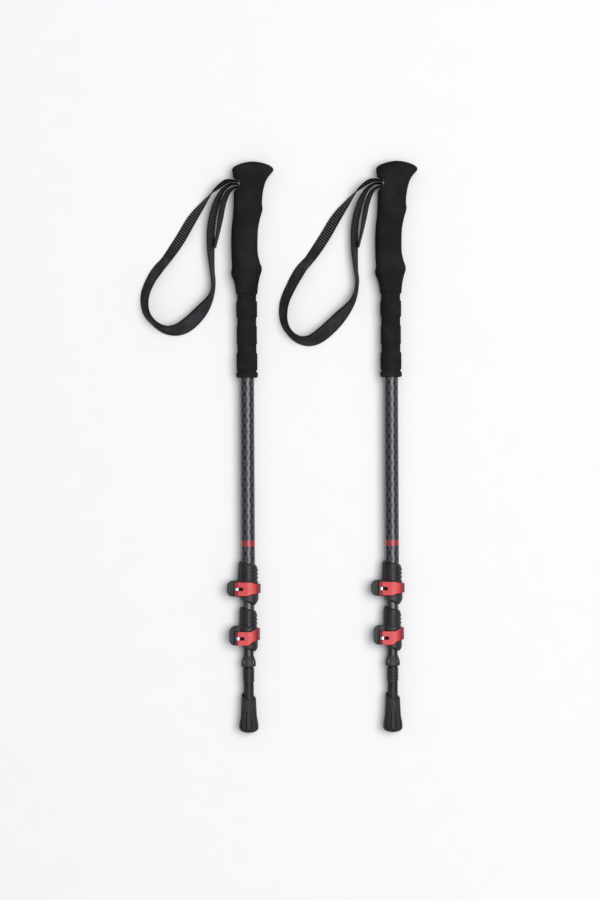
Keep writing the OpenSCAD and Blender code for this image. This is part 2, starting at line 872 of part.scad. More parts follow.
module cam_lever(r, lock_z, sweep, tip_w) {
    high = lever_w + abs(sweep);
    pin_x = -r - bolt_out;
    color([0.86, 0.3, 0.31])
        translate([0, 0, lock_z])
            difference() {
                intersection() {
                    translate([0, 0, -high])
                        linear_extrude(2 * high)
                            lever_section(r);
                    translate([0, far / 2, 0])
                        rotate([90, 0, 0])
                            linear_extrude(far)
                                lever_outline(r, sweep, tip_w);
                }
                translate([pin_x - far, -far, -eye_w / 2 - slide_gap])
                    cube([far + lever_slot_len - cam_reach, 2 * far, eye_w + 2 * slide_gap]);
                translate([pin_x, -pin_rise, -far])
                    cylinder(d = lever_pin_d + 2 * run_gap, h = 2 * far);
            }
}

module upper_lever() {
    cam_lever(upper_collar_d / 2, upper_lock_z, upper_lever_sweep, upper_lever_tip_w);
}

module lower_lever() {
    cam_lever(lower_collar_d / 2, lower_lock_z, lower_lever_sweep, lower_lever_tip_w);
}

pin_inset = 0.8;

module lever_pin(r, lock_z) {
    color([0.6, 0.6, 0.62])
        translate([-r - bolt_out, -pin_rise, lock_z])
            cylinder(d = lever_pin_d, h = lever_w - 2 * pin_inset, center = true);
}

module upper_lever_pin() {
    lever_pin(upper_collar_d / 2, upper_lock_z);
}

module lower_lever_pin() {
    lever_pin(lower_collar_d / 2, lower_lock_z);
}

// Thumb nut behind the back ear, with finger grooves
nut_grooves = 14;
nut_groove_d = 1.2;
nut_edge = 0.7;

module thumb_nut(r, lock_z) {
    nut_h = axis_h - ear_half - free_gap;
    nut_r = nut_d / 2;
    hole_r = bolt_d / 2 + run_gap;
    color([0.1, 0.1, 0.11])
        translate([-r - bolt_out, ear_half + free_gap, lock_z])
            rotate([-90, 0, 0])
                difference() {
                    rotate_extrude()
                        polygon([
                            [hole_r, 0], [nut_r - nut_edge, 0], [nut_r, nut_edge], [nut_r, nut_h - nut_edge],
                            [nut_r - nut_edge, nut_h], [hole_r, nut_h]
                        ]);
                    for (i = [0 : nut_grooves - 1]) {
                        rotate([0, 0, 360 * i / nut_grooves])
                            translate([nut_r + nut_groove_d / 4, 0, -1])
                                cylinder(d = nut_groove_d, h = nut_h + 2, $fn = 24);
                    }
                }
}

module upper_nut() {
    thumb_nut(upper_collar_d / 2, upper_lock_z);
}

module lower_nut() {
    thumb_nut(lower_collar_d / 2, lower_lock_z);
}

// Tip ferrule
nose_foot_z = 13;
nose_foot_d = 9;
thread_root = 0.85;
stop_top_d = 13.4;
spigot_len = 16;
window_count = 4;
window_turn = 52;
window_w = 2.6;
window_h = 5.2;
window_rise = 2.4;
window_floor = 0.4;
ridge_share = 0.6;
carbide_seat = 10;
carbide_end_gap = 0.5;

// Outline of the nose that the boot goes over, grown by gap
function nose_outline(gap) = [
    [0, nose_foot_z - gap], [nose_foot_d / 2 + gap, nose_foot_z - gap],
    [nose_d / 2 + gap, boot_h - 8]
];

module tip_ferrule() {
    thread_r = thread_d / 2;
    pitch = thread_len / thread_ridges;
    wall_in = lower_r + seat_gap;
    color([0.1, 0.1, 0.11])
        difference() {
            union() {
                rotate_extrude()
                    polygon(concat(nose_outline(0), [
                        [nose_d / 2, thread_z - 1], [thread_r - thread_root, thread_z],
                        [thread_r - thread_root, stop_z], [stop_d / 2, stop_z],
                        [stop_d / 2, stop_z + 2], [stop_top_d / 2, stop_top_z - 1.5],
                        [stop_top_d / 2 - 0.4, stop_top_z], [wall_in, stop_top_z],
                        [wall_in, lower_tube_z], [lower_bore_r - seat_gap, lower_tube_z],
                        [lower_bore_r - seat_gap, lower_tube_z + spigot_len],
                        [0, lower_tube_z + spigot_len]
                    ]));
                for (i = [0 : thread_ridges - 1]) {
                    translate([0, 0, thread_z + i * pitch])
                        cylinder(r = thread_r, h = pitch * ridge_share);
                }
            }
            for (i = [0 : window_count - 1]) {
                rotate([0, 0, window_turn - 90 + 360 * i / window_count])
                    translate([wall_in + window_floor, 0, stop_z + window_rise + window_h / 2])
                        rotate([90, 0, 90])
                            linear_extrude(stop_d)
                                window_outline();
            }
            translate([0, 0, nose_foot_z - overlap])
                cylinder(d = carbide_d + 2 * seat_gap, h = carbide_seat);
        }
}

// Window of the basket stop
module window_outline() {
    square([window_w, window_h - window_w], center = true);
    for (side = [-1, 1]) {
        translate([0, side * (window_h - window_w) / 2])
            circle(d = window_w, $fn = 32);
    }
}

// Carbide point with a hollow-ground end
carbide_show = 7;
carbide_cup = 1.2;
carbide_cone = 3;

module carbide_tip() {
    low = nose_foot_z - carbide_show;
    color([0.55, 0.55, 0.57])
        rotate_extrude()
            polygon([
                [0, low + carbide_cup], [carbide_d / 4, low], [carbide_d / 2, low + carbide_cone],
                [carbide_d / 2, nose_foot_z + carbide_seat - carbide_end_gap],
                [0, nose_foot_z + carbide_seat - carbide_end_gap]
            ]);
}

// Rubber boot: a fluted foot with a slanted rim
boot_rim_d = 15.4;
boot_waist_d = 17.4;
boot_dome = 5.6;
boot_dome_steps = 7;
boot_side_z = 9.6;
boot_rim_room = 12;
boot_rim_lift = 1.5;
boot_side_slant = 18;
boot_front_slant = 24;
boot_waist_share = 0.72;
boot_swell = 0.5;
flute_r = 1.3;
flute_low = 6;
flute_len = 19;
flute_depth = 0.95;
flute_lean = 5.5;

module boot_body() {
    foot_r = boot_d / 2;
    rotate_extrude()
        polygon(concat(
            [
                for (i = [0 : boot_dome_steps])
                    let (a = 90 * i / boot_dome_steps)
                    [foot_r * sin(a), boot_dome * (1 - cos(a))]
            ],
            [
                [foot_r, boot_side_z], [boot_waist_d / 2 + boot_swell, boot_h / 2],
                [boot_waist_d / 2, boot_h * boot_waist_share],
                [boot_rim_d / 2, boot_h + boot_rim_room], [0, boot_h + boot_rim_room]
            ]
        ));
}

module rubber_boot() {
    cavity_foot = nose_foot_z - carbide_show - free_gap;
    color([0.11, 0.11, 0.12])
        difference() {
            boot_body();
            rotate_extrude()
                polygon(concat(nose_outline(free_gap), [
                    [nose_d / 2 + free_gap, boot_h + boot_rim_room + 1], [0, boot_h + boot_rim_room + 1]
                ]));
            translate([0, 0, cavity_foot])
                cylinder(d = carbide_d + 2 * free_gap, h = carbide_show + 1);
            translate([0, 0, boot_h + boot_rim_lift])
                rotate([boot_front_slant, boot_side_slant, 0])
                    translate([-far / 2, -far / 2, 0])
                        cube(far);
            for (i = [0 : flute_count - 1]) {
                rotate([0, 0, 360 * i / flute_count])
                    translate([boot_d / 2 + flute_r - flute_depth, 0, flute_low])
                        rotate([0, -flute_lean, 0])
                            cylinder(r = flute_r, h = flute_len, $fn = 32);
            }
        }
}

// Left pole
left_pole() foam_grip();  // left_foam_grip
left_pole() foam_sleeve();  // left_foam_sleeve
left_pole() grip_core();  // left_grip_core
left_pole() strap_pin();  // left_strap_pin
left_pole() strap_wedge();  // left_strap_wedge
left_pole() strap_outer_web(left_loop);  // left_strap_outer_web
left_pole() strap_pad(left_loop);  // left_strap_pad
left_pole() strap_return_web(left_loop);  // left_strap_return_web
left_pole() strap_tail();  // left_strap_tail
left_pole() upper_tube();  // left_upper_tube
left_pole() upper_collar();  // left_upper_collar
left_pole() upper_bolt();  // left_upper_bolt
left_pole() upper_lever();  // left_upper_lever
left_pole() upper_lever_pin();  // left_upper_lever_pin
left_pole() upper_nut();  // left_upper_nut
left_pole() middle_tube();  // left_middle_tube
left_pole() middle_bush();  // left_middle_bush
left_pole() lower_collar();  // left_lower_collar
left_pole() lower_bolt();  // left_lower_bolt
left_pole() lower_lever();  // left_lower_lever
left_pole() lower_lever_pin();  // left_lower_lever_pin
left_pole() lower_nut();  // left_lower_nut
left_pole() lower_tube();  // left_lower_tube
left_pole() lower_bush();  // left_lower_bush
left_pole() tip_ferrule();  // left_tip_ferrule
left_pole() carbide_tip();  // left_carbide_tip
left_pole() rubber_boot();  // left_rubber_boot

// Right pole
right_pole() foam_grip();  // right_foam_grip
right_pole() foam_sleeve();  // right_foam_sleeve
right_pole() grip_core();  // right_grip_core
right_pole() strap_pin();  // right_strap_pin
right_pole() strap_wedge();  // right_strap_wedge
right_pole() strap_outer_web(right_loop);  // right_strap_outer_web
right_pole() strap_pad(right_loop);  // right_strap_pad
right_pole() strap_return_web(right_loop);  // right_strap_return_web
right_pole() strap_tail();  // right_strap_tail
right_pole() upper_tube();  // right_upper_tube
right_pole() upper_collar();  // right_upper_collar
right_pole() upper_bolt();  // right_upper_bolt
right_pole() upper_lever();  // right_upper_lever
right_pole() upper_lever_pin();  // right_upper_lever_pin
right_pole() upper_nut();  // right_upper_nut
right_pole() middle_tube();  // right_middle_tube
right_pole() middle_bush();  // right_middle_bush
right_pole() lower_collar();  // right_lower_collar
right_pole() lower_bolt();  // right_lower_bolt
right_pole() lower_lever();  // right_lower_lever
right_pole() lower_lever_pin();  // right_lower_lever_pin
right_pole() lower_nut();  // right_lower_nut
right_pole() lower_tube();  // right_lower_tube
right_pole() lower_bush();  // right_lower_bush
right_pole() tip_ferrule();  // right_tip_ferrule
right_pole() carbide_tip();  // right_carbide_tip
right_pole() rubber_boot();  // right_rubber_boot
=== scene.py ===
# %% [markdown]
# # A pair of trekking poles
# The poles lie side by side on a pale floor, folded to their shortest length.
# The solid model gives every place and size. This lesson dresses it: soft foam, woven straps,
# a braided shaft, moulded clamps and a rubber foot.

# %% Load the solid model
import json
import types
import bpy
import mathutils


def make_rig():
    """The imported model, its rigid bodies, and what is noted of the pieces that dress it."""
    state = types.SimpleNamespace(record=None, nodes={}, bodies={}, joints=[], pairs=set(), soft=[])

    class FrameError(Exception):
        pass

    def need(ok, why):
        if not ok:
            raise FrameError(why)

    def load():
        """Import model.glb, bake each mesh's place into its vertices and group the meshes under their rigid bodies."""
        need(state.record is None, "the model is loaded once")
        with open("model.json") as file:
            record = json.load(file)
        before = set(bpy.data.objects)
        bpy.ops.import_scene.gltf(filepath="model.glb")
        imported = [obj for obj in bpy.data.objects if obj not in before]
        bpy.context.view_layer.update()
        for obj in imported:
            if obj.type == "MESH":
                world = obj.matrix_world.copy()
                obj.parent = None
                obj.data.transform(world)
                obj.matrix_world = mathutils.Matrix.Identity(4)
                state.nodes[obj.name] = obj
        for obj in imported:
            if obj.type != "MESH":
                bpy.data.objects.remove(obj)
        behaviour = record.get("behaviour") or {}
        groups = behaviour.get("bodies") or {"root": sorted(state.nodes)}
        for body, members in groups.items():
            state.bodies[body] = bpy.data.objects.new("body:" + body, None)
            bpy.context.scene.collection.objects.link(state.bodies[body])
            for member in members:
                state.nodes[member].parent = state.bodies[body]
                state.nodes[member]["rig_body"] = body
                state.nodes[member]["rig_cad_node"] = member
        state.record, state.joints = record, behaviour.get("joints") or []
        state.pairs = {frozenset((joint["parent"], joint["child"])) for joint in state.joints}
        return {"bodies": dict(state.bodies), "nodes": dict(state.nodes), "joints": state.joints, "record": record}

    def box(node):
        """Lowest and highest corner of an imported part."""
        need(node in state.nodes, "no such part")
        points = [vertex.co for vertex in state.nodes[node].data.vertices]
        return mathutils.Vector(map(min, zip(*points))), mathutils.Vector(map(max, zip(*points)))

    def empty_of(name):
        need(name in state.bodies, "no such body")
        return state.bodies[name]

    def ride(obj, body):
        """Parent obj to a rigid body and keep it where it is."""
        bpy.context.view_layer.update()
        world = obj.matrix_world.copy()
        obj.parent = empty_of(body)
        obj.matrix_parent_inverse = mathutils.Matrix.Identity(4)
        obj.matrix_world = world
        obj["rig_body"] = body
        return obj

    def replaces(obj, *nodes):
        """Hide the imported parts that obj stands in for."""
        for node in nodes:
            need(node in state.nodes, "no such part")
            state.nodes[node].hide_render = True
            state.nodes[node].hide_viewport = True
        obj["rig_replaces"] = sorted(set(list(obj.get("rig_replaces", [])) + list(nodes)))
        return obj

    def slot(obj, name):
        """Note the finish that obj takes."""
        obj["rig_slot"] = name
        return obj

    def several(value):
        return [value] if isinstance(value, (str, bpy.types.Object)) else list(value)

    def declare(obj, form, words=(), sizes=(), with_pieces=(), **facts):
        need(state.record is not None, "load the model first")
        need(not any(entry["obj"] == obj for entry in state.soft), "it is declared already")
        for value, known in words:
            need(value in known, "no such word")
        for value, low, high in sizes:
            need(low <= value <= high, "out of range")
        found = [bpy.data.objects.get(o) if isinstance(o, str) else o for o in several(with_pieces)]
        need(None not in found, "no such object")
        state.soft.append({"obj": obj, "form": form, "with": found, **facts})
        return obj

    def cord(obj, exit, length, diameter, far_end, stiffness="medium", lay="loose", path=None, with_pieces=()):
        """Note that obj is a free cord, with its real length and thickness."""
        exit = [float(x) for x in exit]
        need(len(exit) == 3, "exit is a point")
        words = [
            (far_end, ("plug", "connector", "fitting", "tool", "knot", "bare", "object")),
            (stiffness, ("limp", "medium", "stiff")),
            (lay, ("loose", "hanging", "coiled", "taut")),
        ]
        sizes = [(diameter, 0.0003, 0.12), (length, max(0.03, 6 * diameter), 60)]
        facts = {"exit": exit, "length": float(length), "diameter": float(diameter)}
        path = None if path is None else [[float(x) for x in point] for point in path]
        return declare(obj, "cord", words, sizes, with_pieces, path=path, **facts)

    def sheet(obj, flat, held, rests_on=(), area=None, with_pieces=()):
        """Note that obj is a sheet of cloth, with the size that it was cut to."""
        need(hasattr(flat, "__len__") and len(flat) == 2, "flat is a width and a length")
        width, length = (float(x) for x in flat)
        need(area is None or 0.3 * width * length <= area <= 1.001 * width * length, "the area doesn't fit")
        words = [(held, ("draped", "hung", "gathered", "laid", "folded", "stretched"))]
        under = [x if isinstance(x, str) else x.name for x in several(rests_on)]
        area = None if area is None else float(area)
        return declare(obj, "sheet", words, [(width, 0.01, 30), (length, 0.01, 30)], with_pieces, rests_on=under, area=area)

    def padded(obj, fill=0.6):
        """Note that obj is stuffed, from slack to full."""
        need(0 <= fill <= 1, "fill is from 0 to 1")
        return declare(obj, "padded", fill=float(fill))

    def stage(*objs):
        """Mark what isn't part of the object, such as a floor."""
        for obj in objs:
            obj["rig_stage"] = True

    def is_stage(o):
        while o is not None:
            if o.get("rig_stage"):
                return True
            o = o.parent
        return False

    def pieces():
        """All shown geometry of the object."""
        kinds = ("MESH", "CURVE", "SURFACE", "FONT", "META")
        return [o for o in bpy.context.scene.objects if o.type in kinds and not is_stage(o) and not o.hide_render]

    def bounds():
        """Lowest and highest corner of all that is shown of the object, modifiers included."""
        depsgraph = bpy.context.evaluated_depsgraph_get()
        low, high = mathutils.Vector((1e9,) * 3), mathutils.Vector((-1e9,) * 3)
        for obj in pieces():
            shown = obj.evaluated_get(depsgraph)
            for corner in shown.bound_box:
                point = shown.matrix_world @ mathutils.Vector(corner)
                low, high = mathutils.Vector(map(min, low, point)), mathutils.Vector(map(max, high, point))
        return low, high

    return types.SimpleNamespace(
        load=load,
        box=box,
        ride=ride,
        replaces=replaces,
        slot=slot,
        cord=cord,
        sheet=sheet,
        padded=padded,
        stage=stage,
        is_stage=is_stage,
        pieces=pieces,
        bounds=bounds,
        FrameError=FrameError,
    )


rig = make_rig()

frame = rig.load()
cad_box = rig.bounds()

import json
import math

import bmesh
import bpy
from mathutils import Matrix, Vector

MM = 0.001
SIDES = ("left", "right")
nodes = frame["nodes"]
scene = bpy.context.scene
print("solid model:", len(nodes), "nodes,", [round(1000 * (b - a)) for a, b in zip(*cad_box)], "mm")

# %% [markdown]
# Each pole is easier to shape in its own measures: x towards the front of the grip, up away from
# the floor, and z along the pole from the foot of its boot. One function turns these into the
# shared frame, and it takes its places from the boxes of the solid parts.

# %% Places on a pole
pole_len = 1000 * (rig.box("left_foam_grip")[1].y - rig.box("left_rubber_boot")[0].y)


def middle(node):
    low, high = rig.box(node)
    return (low + high) / 2


axes = {side: middle(side + "_upper_tube") for side in SIDES}
pins = {side: middle(side + "_strap_pin") for side in SIDES}
foot_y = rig.box("left_rubber_boot")[0].y


def pole_point(side, x, up, z):
    return Vector((axes[side].x + x * MM, foot_y + z * MM, axes[side].z + up * MM))


def pole_z(node):
    """Lowest and highest z of a node, in mm above the boot's foot."""
    low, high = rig.box(node)
    return 1000 * (low.y - foot_y), 1000 * (high.y - foot_y)


print("pole length", round(pole_len, 1), "mm; axes at x",
      [round(1000 * axes[s].x, 2) for s in SIDES], "mm")

# %% [markdown]
# The photograph is a flat lay, taken from straight above and from far off, so the lines along the
# poles stay parallel. A long lens high over the floor gives that. The camera is turned a third of
# a degree, as the poles lean in the picture.

# %% Camera
FRAME_H = 1.0251
CAMERA_UP = 3.0
CAMERA_ROLL = 0.30
camera = bpy.data.objects.new("camera", bpy.data.cameras.new("camera"))
scene.collection.objects.link(camera)
scene.camera = camera
camera.location = (-0.0259, -0.0034, axes["left"].z + CAMERA_UP)
camera.rotation_euler = (0, 0, -math.radians(CAMERA_ROLL))
camera.data.lens = camera.data.sensor_width * CAMERA_UP / FRAME_H
print("camera", round(camera.data.lens, 1), "mm lens at", CAMERA_UP, "m")

# %% [markdown]
# A strap is a flat band that follows a route in the air. The route is a short list of points,
# each with a lean, and a smooth curve goes through them. The curve is then divided into even
# steps, so that a weave on it keeps its scale.

# %% Strap routes
# x, drop below the pole's axis, rise above the strap pin (mm), and lean of the upper edge (degrees)
OUT_ROUTE = [
    (-3.4, 0, 3, 0), (-9, 0, 3.4, 0), (-16, 0, 4, -5), (-24, 0.5, 2.4, -14), (-34, 2, -4.6, -6),
    (-40, 3.5, -10.4, 6), (-49.2, 5, -21.8, 26), (-61.8, 6.6, -38.8, 48), (-76, 9, -62, 55),
    (-91, 8, -84, 48),
]
PAD_ROUTES = {
    "left": [
        (-101, 5.5, -96, 36), (-109.5, 4.4, -109, 31), (-116, 3.8, -126, 27), (-115, 3, -144, 20),
        (-106, 2.7, -157, 13), (-93, 3, -165, 20), (-79, 4, -165, 35), (-66, 4.8, -158, 45),
        (-52, 4.5, -144, 38), (-41, 3, -128, 14),
    ],
    "right": [
        (-102, 5.5, -97, 36), (-112.5, 4.4, -115, 31), (-121, 3.8, -135, 27), (-122, 3, -154, 20),
        (-116, 2.7, -168, 13), (-105, 3, -177, 18), (-91, 3.8, -178, 33), (-77, 4.8, -170, 45),
        (-59, 4.5, -153, 40), (-43, 3, -133, 15),
    ],
}
BACK_ROUTE = [
    (-37.9, 4.5, -113, 15), (-39.2, 5.5, -97, 18), (-40.7, 6, -74, 31), (-40.3, 5.5, -49, 33),
    (-35.9, 4, -27, 28), (-29.4, 2, -11, 17), (-24, 0.9, -4.4, 10), (-17.5, 0.2, -0.2, 3),
    (-13, 0, 0.4, 0), (-9.1, 0, 0, 0),
]
TAIL_ROUTE = [
    (-3.4, 0, -3, 0), (-9, 0, -3.2, 0), (-15.5, 0.2, -4.8, -4), (-21.5, 1, -10.5, -16), (-26.3, 2.7, -22.5, -21),
    (-29.4, 4.5, -38, -20), (-32.6, 5.6, -55, -12), (-36.3, 6, -71.5, -6),
]


def smooth_route(points, steps=24):
    """Many points on the curve through the given ones, with the place of each given one."""
    p = [Vector(q) for q in points]
    curve, marks = [], []
    for i in range(len(p) - 1):
        a, b, c, d = p[max(i - 1, 0)], p[i], p[i + 1], p[min(i + 2, len(p) - 1)]
        marks.append(len(curve))
        for k in range(steps):
            u = k / steps
            curve.append((2 * b + (c - a) * u + (2 * a - 5 * b + 4 * c - d) * u**2
                          + (3 * b - a - 3 * c + d) * u**3) / 2)
    marks.append(len(curve))
    return curve + [p[-1]], marks


def even_steps(curve, step):
    """The same curve with points a fixed length apart, as near as the whole length allows."""
    ends = [0.0]
    for a, b in zip(curve, curve[1:]):
        ends.append(ends[-1] + (b.xyz - a.xyz).length)
    count = max(4, round(ends[-1] / step))
    even, i = [], 0
    for k in range(count + 1):
        want = ends[-1] * k / count
        while i < len(curve) - 2 and ends[i + 1] < want:
            i += 1
        share = (want - ends[i]) / max(ends[i + 1] - ends[i], 1e-9)
        even.append(curve[i].lerp(curve[i + 1], min(max(share, 0), 1)))
    return even, ends[-1]


def strap_rows(side, curve, step):
    """Rows across a strap: centre, direction across it, direction through it, length so far (m)."""
    points, length = even_steps(curve, step)
    axis, pin = axes[side], pins[side]
    spots = [Vector((axis.x + p.x * MM, pin.y + p.z * MM, axis.z - p.y * MM)) for p in points]
    up, rows = Vector((0, 0, 1)), []
    for i, p in enumerate(points):
        ahead = (spots[min(i + 1, len(spots) - 1)] - spots[max(i - 1, 0)]).normalized()
        inward = up.cross(ahead).normalized()
        lean = math.radians(p.w)
        wide = (math.cos(lean) * up + math.sin(lean) * inward).normalized()
        rows.append((spots[i], wide, ahead.cross(wide).normalized(), length * MM * i / (len(points) - 1)))
    return rows, length * MM


loops = {}
for side in SIDES:
    curve, marks = smooth_route(OUT_ROUTE + PAD_ROUTES[side] + BACK_ROUTE)
    first = marks[len(OUT_ROUTE) - 1]
    last = marks[len(OUT_ROUTE) + len(PAD_ROUTES[side])]
    loops[side] = curve[: first + 1], curve[first : last + 1], curve[last:]
    print(side, "strap loop", round(even_steps(curve, 1)[1]), "mm long")

# %% [markdown]
# A band is made by drawing its cross-section once, as a closed ring of edges, and extruding that
# ring along the route row by row. The ring has a slightly thinner selvedge, and the rows carry
# small waves: the ribs of the woven web. Each point also keeps its place on the flat band, so that
# a material can follow it round every bend.

# %% Extruding a band along its rows
WEB_W, WEB_T = 15.0, 1.6
RIB_PITCH, RIB_H = 2.8, 0.3
RIB_SLANT = {"outer_web": -0.12, "return_web": 0.36, "tail": 0.2}


def new_piece(name, bm, smooth_angle=40):
    """A bmesh becomes an object of the scene, with sharp edges only where the surface turns hard."""
    for edge in bm.edges:
        edge.smooth = edge.calc_face_angle(0) < math.radians(smooth_angle)
    for face in bm.faces:
        face.smooth = True
    mesh = bpy.data.meshes.new(name)
    bm.to_mesh(mesh)
    bm.free()
    piece = bpy.data.objects.new(name, mesh)
    scene.collection.objects.link(piece)
    return piece


def next_ring(bm, ring):
    """Extrudes a ring of edges and gives the new edges and vertices."""
    made = bmesh.ops.extrude_edge_only(bm, edges=ring)["geom"]
    verts = [g for g in made if isinstance(g, bmesh.types.BMVert)]
    fresh = set(verts)
    edges = [g for g in made if isinstance(g, bmesh.types.BMEdge) and set(g.verts) <= fresh]
    return edges, verts


def band(name, rows, ring_spots, place, slant=0.0):
    """A closed band. place(row, spot) gives (across, through) in metres for a spot of the ring."""
    bm = bmesh.new()
    number = bm.verts.layers.int.new("spot")
    flat = bm.verts.layers.float_vector.new("flat")
    verts = [bm.verts.new((0, 0, 0)) for _ in ring_spots]
    for i, v in enumerate(verts):
        v[number] = i
    ring = [bm.edges.new((a, b)) for a, b in zip(verts, verts[1:] + verts[:1])]
    for k, row in enumerate(rows):
        if k:
            ring, verts = next_ring(bm, ring)
        centre, wide, through, along = row
        for v in verts:
            across, depth = place(along, ring_spots[v[number]])
            v.co = centre + across * wide + depth * through
            v[flat] = (across, along + across * slant, depth)
        if k in (0, len(rows) - 1):
            bmesh.ops.contextual_create(bm, geom=ring)
    bmesh.ops.recalc_face_normals(bm, faces=bm.faces[:])
    return new_piece(name, bm)


def ring_of(across):
    """Spots round a flat ring: one face from edge to edge, then the other face back."""
    return [(u, 1) for u in across] + [(u, -1) for u in reversed(across)]


web_ring = ring_of([-1, -0.97, -0.9, -0.75, -0.55, -0.35, -0.12, 0.12, 0.35, 0.55, 0.75, 0.9, 0.97, 1])


def web_place(slant):
    def place(along, spot):
        u, face = spot
        across = u * WEB_W / 2
        edge = max(0, (abs(u) - 0.86) / 0.14)
        wave = math.cos(2 * math.pi * (along / MM + across * slant) / RIB_PITCH) * (1 - edge)
        thick = WEB_T / 2 * (1 - 0.55 * edge**3)
        return across * MM, face * (thick - RIB_H * (1 - wave) / 2) * MM
    return place


def woven(side, part, rows):
    slant = RIB_SLANT[part]
    return band(f"{side}_woven_{part}", rows, web_ring, web_place(slant), slant)


# %% [markdown]
# The two woven runs of each loop are free lengths of webbing, so they are declared as flat cords
# with their length and width. The loose tail is a cut strip of the same web, folded over at its
# end on the real strap; here it is a plain strip, declared as a hanging sheet.

# %% Webs and tails
straps = []
for side in SIDES:
    body = side + "_upper"
    out_curve, pad_curve, back_curve = loops[side]
    for part, curve in (("outer_web", out_curve), ("return_web", back_curve)):
        rows, length = strap_rows(side, curve, RIB_PITCH / 7)
        web = woven(side, part, rows)
        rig.ride(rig.replaces(web, f"{side}_strap_{part}"), body)
        path = [row[0] for row in rows[::6]] + [rows[-1][0]]
        path = path if part == "outer_web" else path[::-1]
        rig.cord(web, exit=path[0], length=length, diameter=WEB_W * MM, far_end="object",
                stiffness="medium", lay="loose", path=path)
        straps.append(web)
        print(web.name, round(1000 * length), "mm,", len(web.data.polygons), "faces")
    rows, length = strap_rows(side, smooth_route(TAIL_ROUTE)[0], RIB_PITCH / 7)
    tail = woven(side, "tail", rows)
    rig.ride(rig.replaces(tail, f"{side}_strap_tail"), body)
    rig.sheet(tail, flat=(WEB_W * MM, length), held="hung", rests_on=[f"{side}_grip_core"])
    straps.append(tail)
    print(tail.name, round(1000 * length), "mm")

# %% [markdown]
# The pad is the wide soft part that lies round the wrist: two layers of smooth cloth over foam,
# sewn down along both edges. Its ring swells between the seams, has a sewn channel near each edge,
# and narrows to the web's width at its two ends. The stitches are real little beads of thread.

# %% Padded part of the loop
PAD_W, PAD_T, PAD_TAPER = 21.0, 3.6, 0.12
SEAM_AT, SEAM_DEEP = 0.80, 0.42
pad_across = [0, 0.15, 0.3, 0.45, 0.58, 0.68, 0.74, 0.775, 0.8, 0.825, 0.86, 0.91, 0.955, 0.985, 1]
pad_ring = ring_of([-u for u in reversed(pad_across[1:])] + pad_across)


def pad_share(share):
    u = min(1, min(share, 1 - share) / PAD_TAPER)
    return u * u * (3 - 2 * u)


def pad_half(share):
    swell = pad_share(share)
    return (WEB_W + (PAD_W - WEB_W) * swell) / 2, (WEB_T + (PAD_T - WEB_T) * swell) / 2


def pad_depth(u, share):
    """Half thickness of the pad at u across it, in mm."""
    half_t = pad_half(share)[1]
    crown = 1 - 0.42 * abs(u) ** 3
    rim = max(0, (abs(u) - 0.92) / 0.08)
    seam = math.exp(-(((abs(u) - SEAM_AT) / 0.035) ** 2))
    return half_t * crown * math.sqrt(max(1 - rim**2, 0.02)) - SEAM_DEEP * pad_share(share) * seam


STITCH, STITCH_GAP, THREAD_D = 2.3, 3.3, 0.5


def stitch(bm, spot, ahead, out, length=STITCH):
    """One bead of thread that lies along the seam."""
    made = bmesh.ops.create_uvsphere(bm, u_segments=6, v_segments=4, radius=1)["verts"]
    side_way = out.cross(ahead).normalized()
    turn = Matrix((side_way, out, ahead)).transposed().to_4x4()
    size = Matrix.Diagonal((THREAD_D / 2 * MM, THREAD_D / 2 * MM, length / 2 * MM, 1))
    bmesh.ops.transform(bm, matrix=Matrix.Translation(spot) @ turn @ size, verts=made)


pads, threads = [], []
for side in SIDES:
    rows, length = strap_rows(side, loops[side][1], 1.1)

    def pad_place(along, spot, length=length):
        share = along / length
        u, face = spot
        return u * pad_half(share)[0] * MM, face * pad_depth(u, share) * MM

    pad = band(f"{side}_wrist_pad", rows, pad_ring, pad_place)
    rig.ride(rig.replaces(pad, f"{side}_strap_pad"), side + "_upper")
    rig.padded(pad, fill=0.7)
    pads.append(pad)
    sewing = bmesh.new()
    place = STITCH_GAP * 1.5
    while place < 1000 * length - STITCH_GAP:
        share = place / (1000 * length)
        i = round(share * (len(rows) - 1))
        centre, wide, through, _ = rows[i]
        ahead = (rows[min(i + 1, len(rows) - 1)][0] - rows[max(i - 1, 0)][0]).normalized()
        for u in (-SEAM_AT, SEAM_AT):
            for face in (-1, 1):
                depth = pad_depth(u, share) + 0.1
                spot = centre + u * pad_half(share)[0] * MM * wide + face * depth * MM * through
                stitch(sewing, spot, ahead, face * through)
        place += STITCH_GAP
    thread = new_piece(f"{side}_pad_stitches", sewing, 180)
    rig.ride(thread, side + "_upper")
    threads.append(thread)
    print(pad.name, round(1000 * length), "mm,", len(thread.data.polygons) // 24, "stitches")

# %% [markdown]
# The grip is moulded foam. Its outline is drawn as three lists of stations, for the back, the
# front and the thickness, and a ring of points is extruded from station to station. A flat dome
# closes the head, and a shallow crease runs round the hips of the grip where two foam parts meet.

# %% Foam grips
GRIP_BACK = [
    (0, -12), (0.06, -12.9), (0.11, -14.6), (0.165, -17.6), (0.22, -16.6), (0.3, -17), (0.42, -17.3),
    (0.54, -16.6), (0.63, -15.2), (0.72, -14.4), (0.86, -14), (0.95, -14.8), (1, -16),
]
GRIP_FRONT = [
    (0, 12.3), (0.08, 13.4), (0.14, 15.2), (0.205, 17.6), (0.26, 15.2), (0.33, 13.1), (0.42, 12.8),
    (0.53, 13.6), (0.61, 15.8), (0.685, 18.7), (0.73, 18.1), (0.82, 19.2), (0.9, 22), (0.945, 25.4),
    (0.975, 29), (0.99, 30.8), (1, 31.4),
]
GRIP_SIDE = [
    (0, 0.86), (0.165, 0.985), (0.28, 0.95), (0.45, 1), (0.6, 0.95), (0.72, 0.93), (0.86, 0.94), (1, 0.98),
]
GRIP_HALF, DOME_H, SECTION_POWER = 14.0, 9.5, 0.88
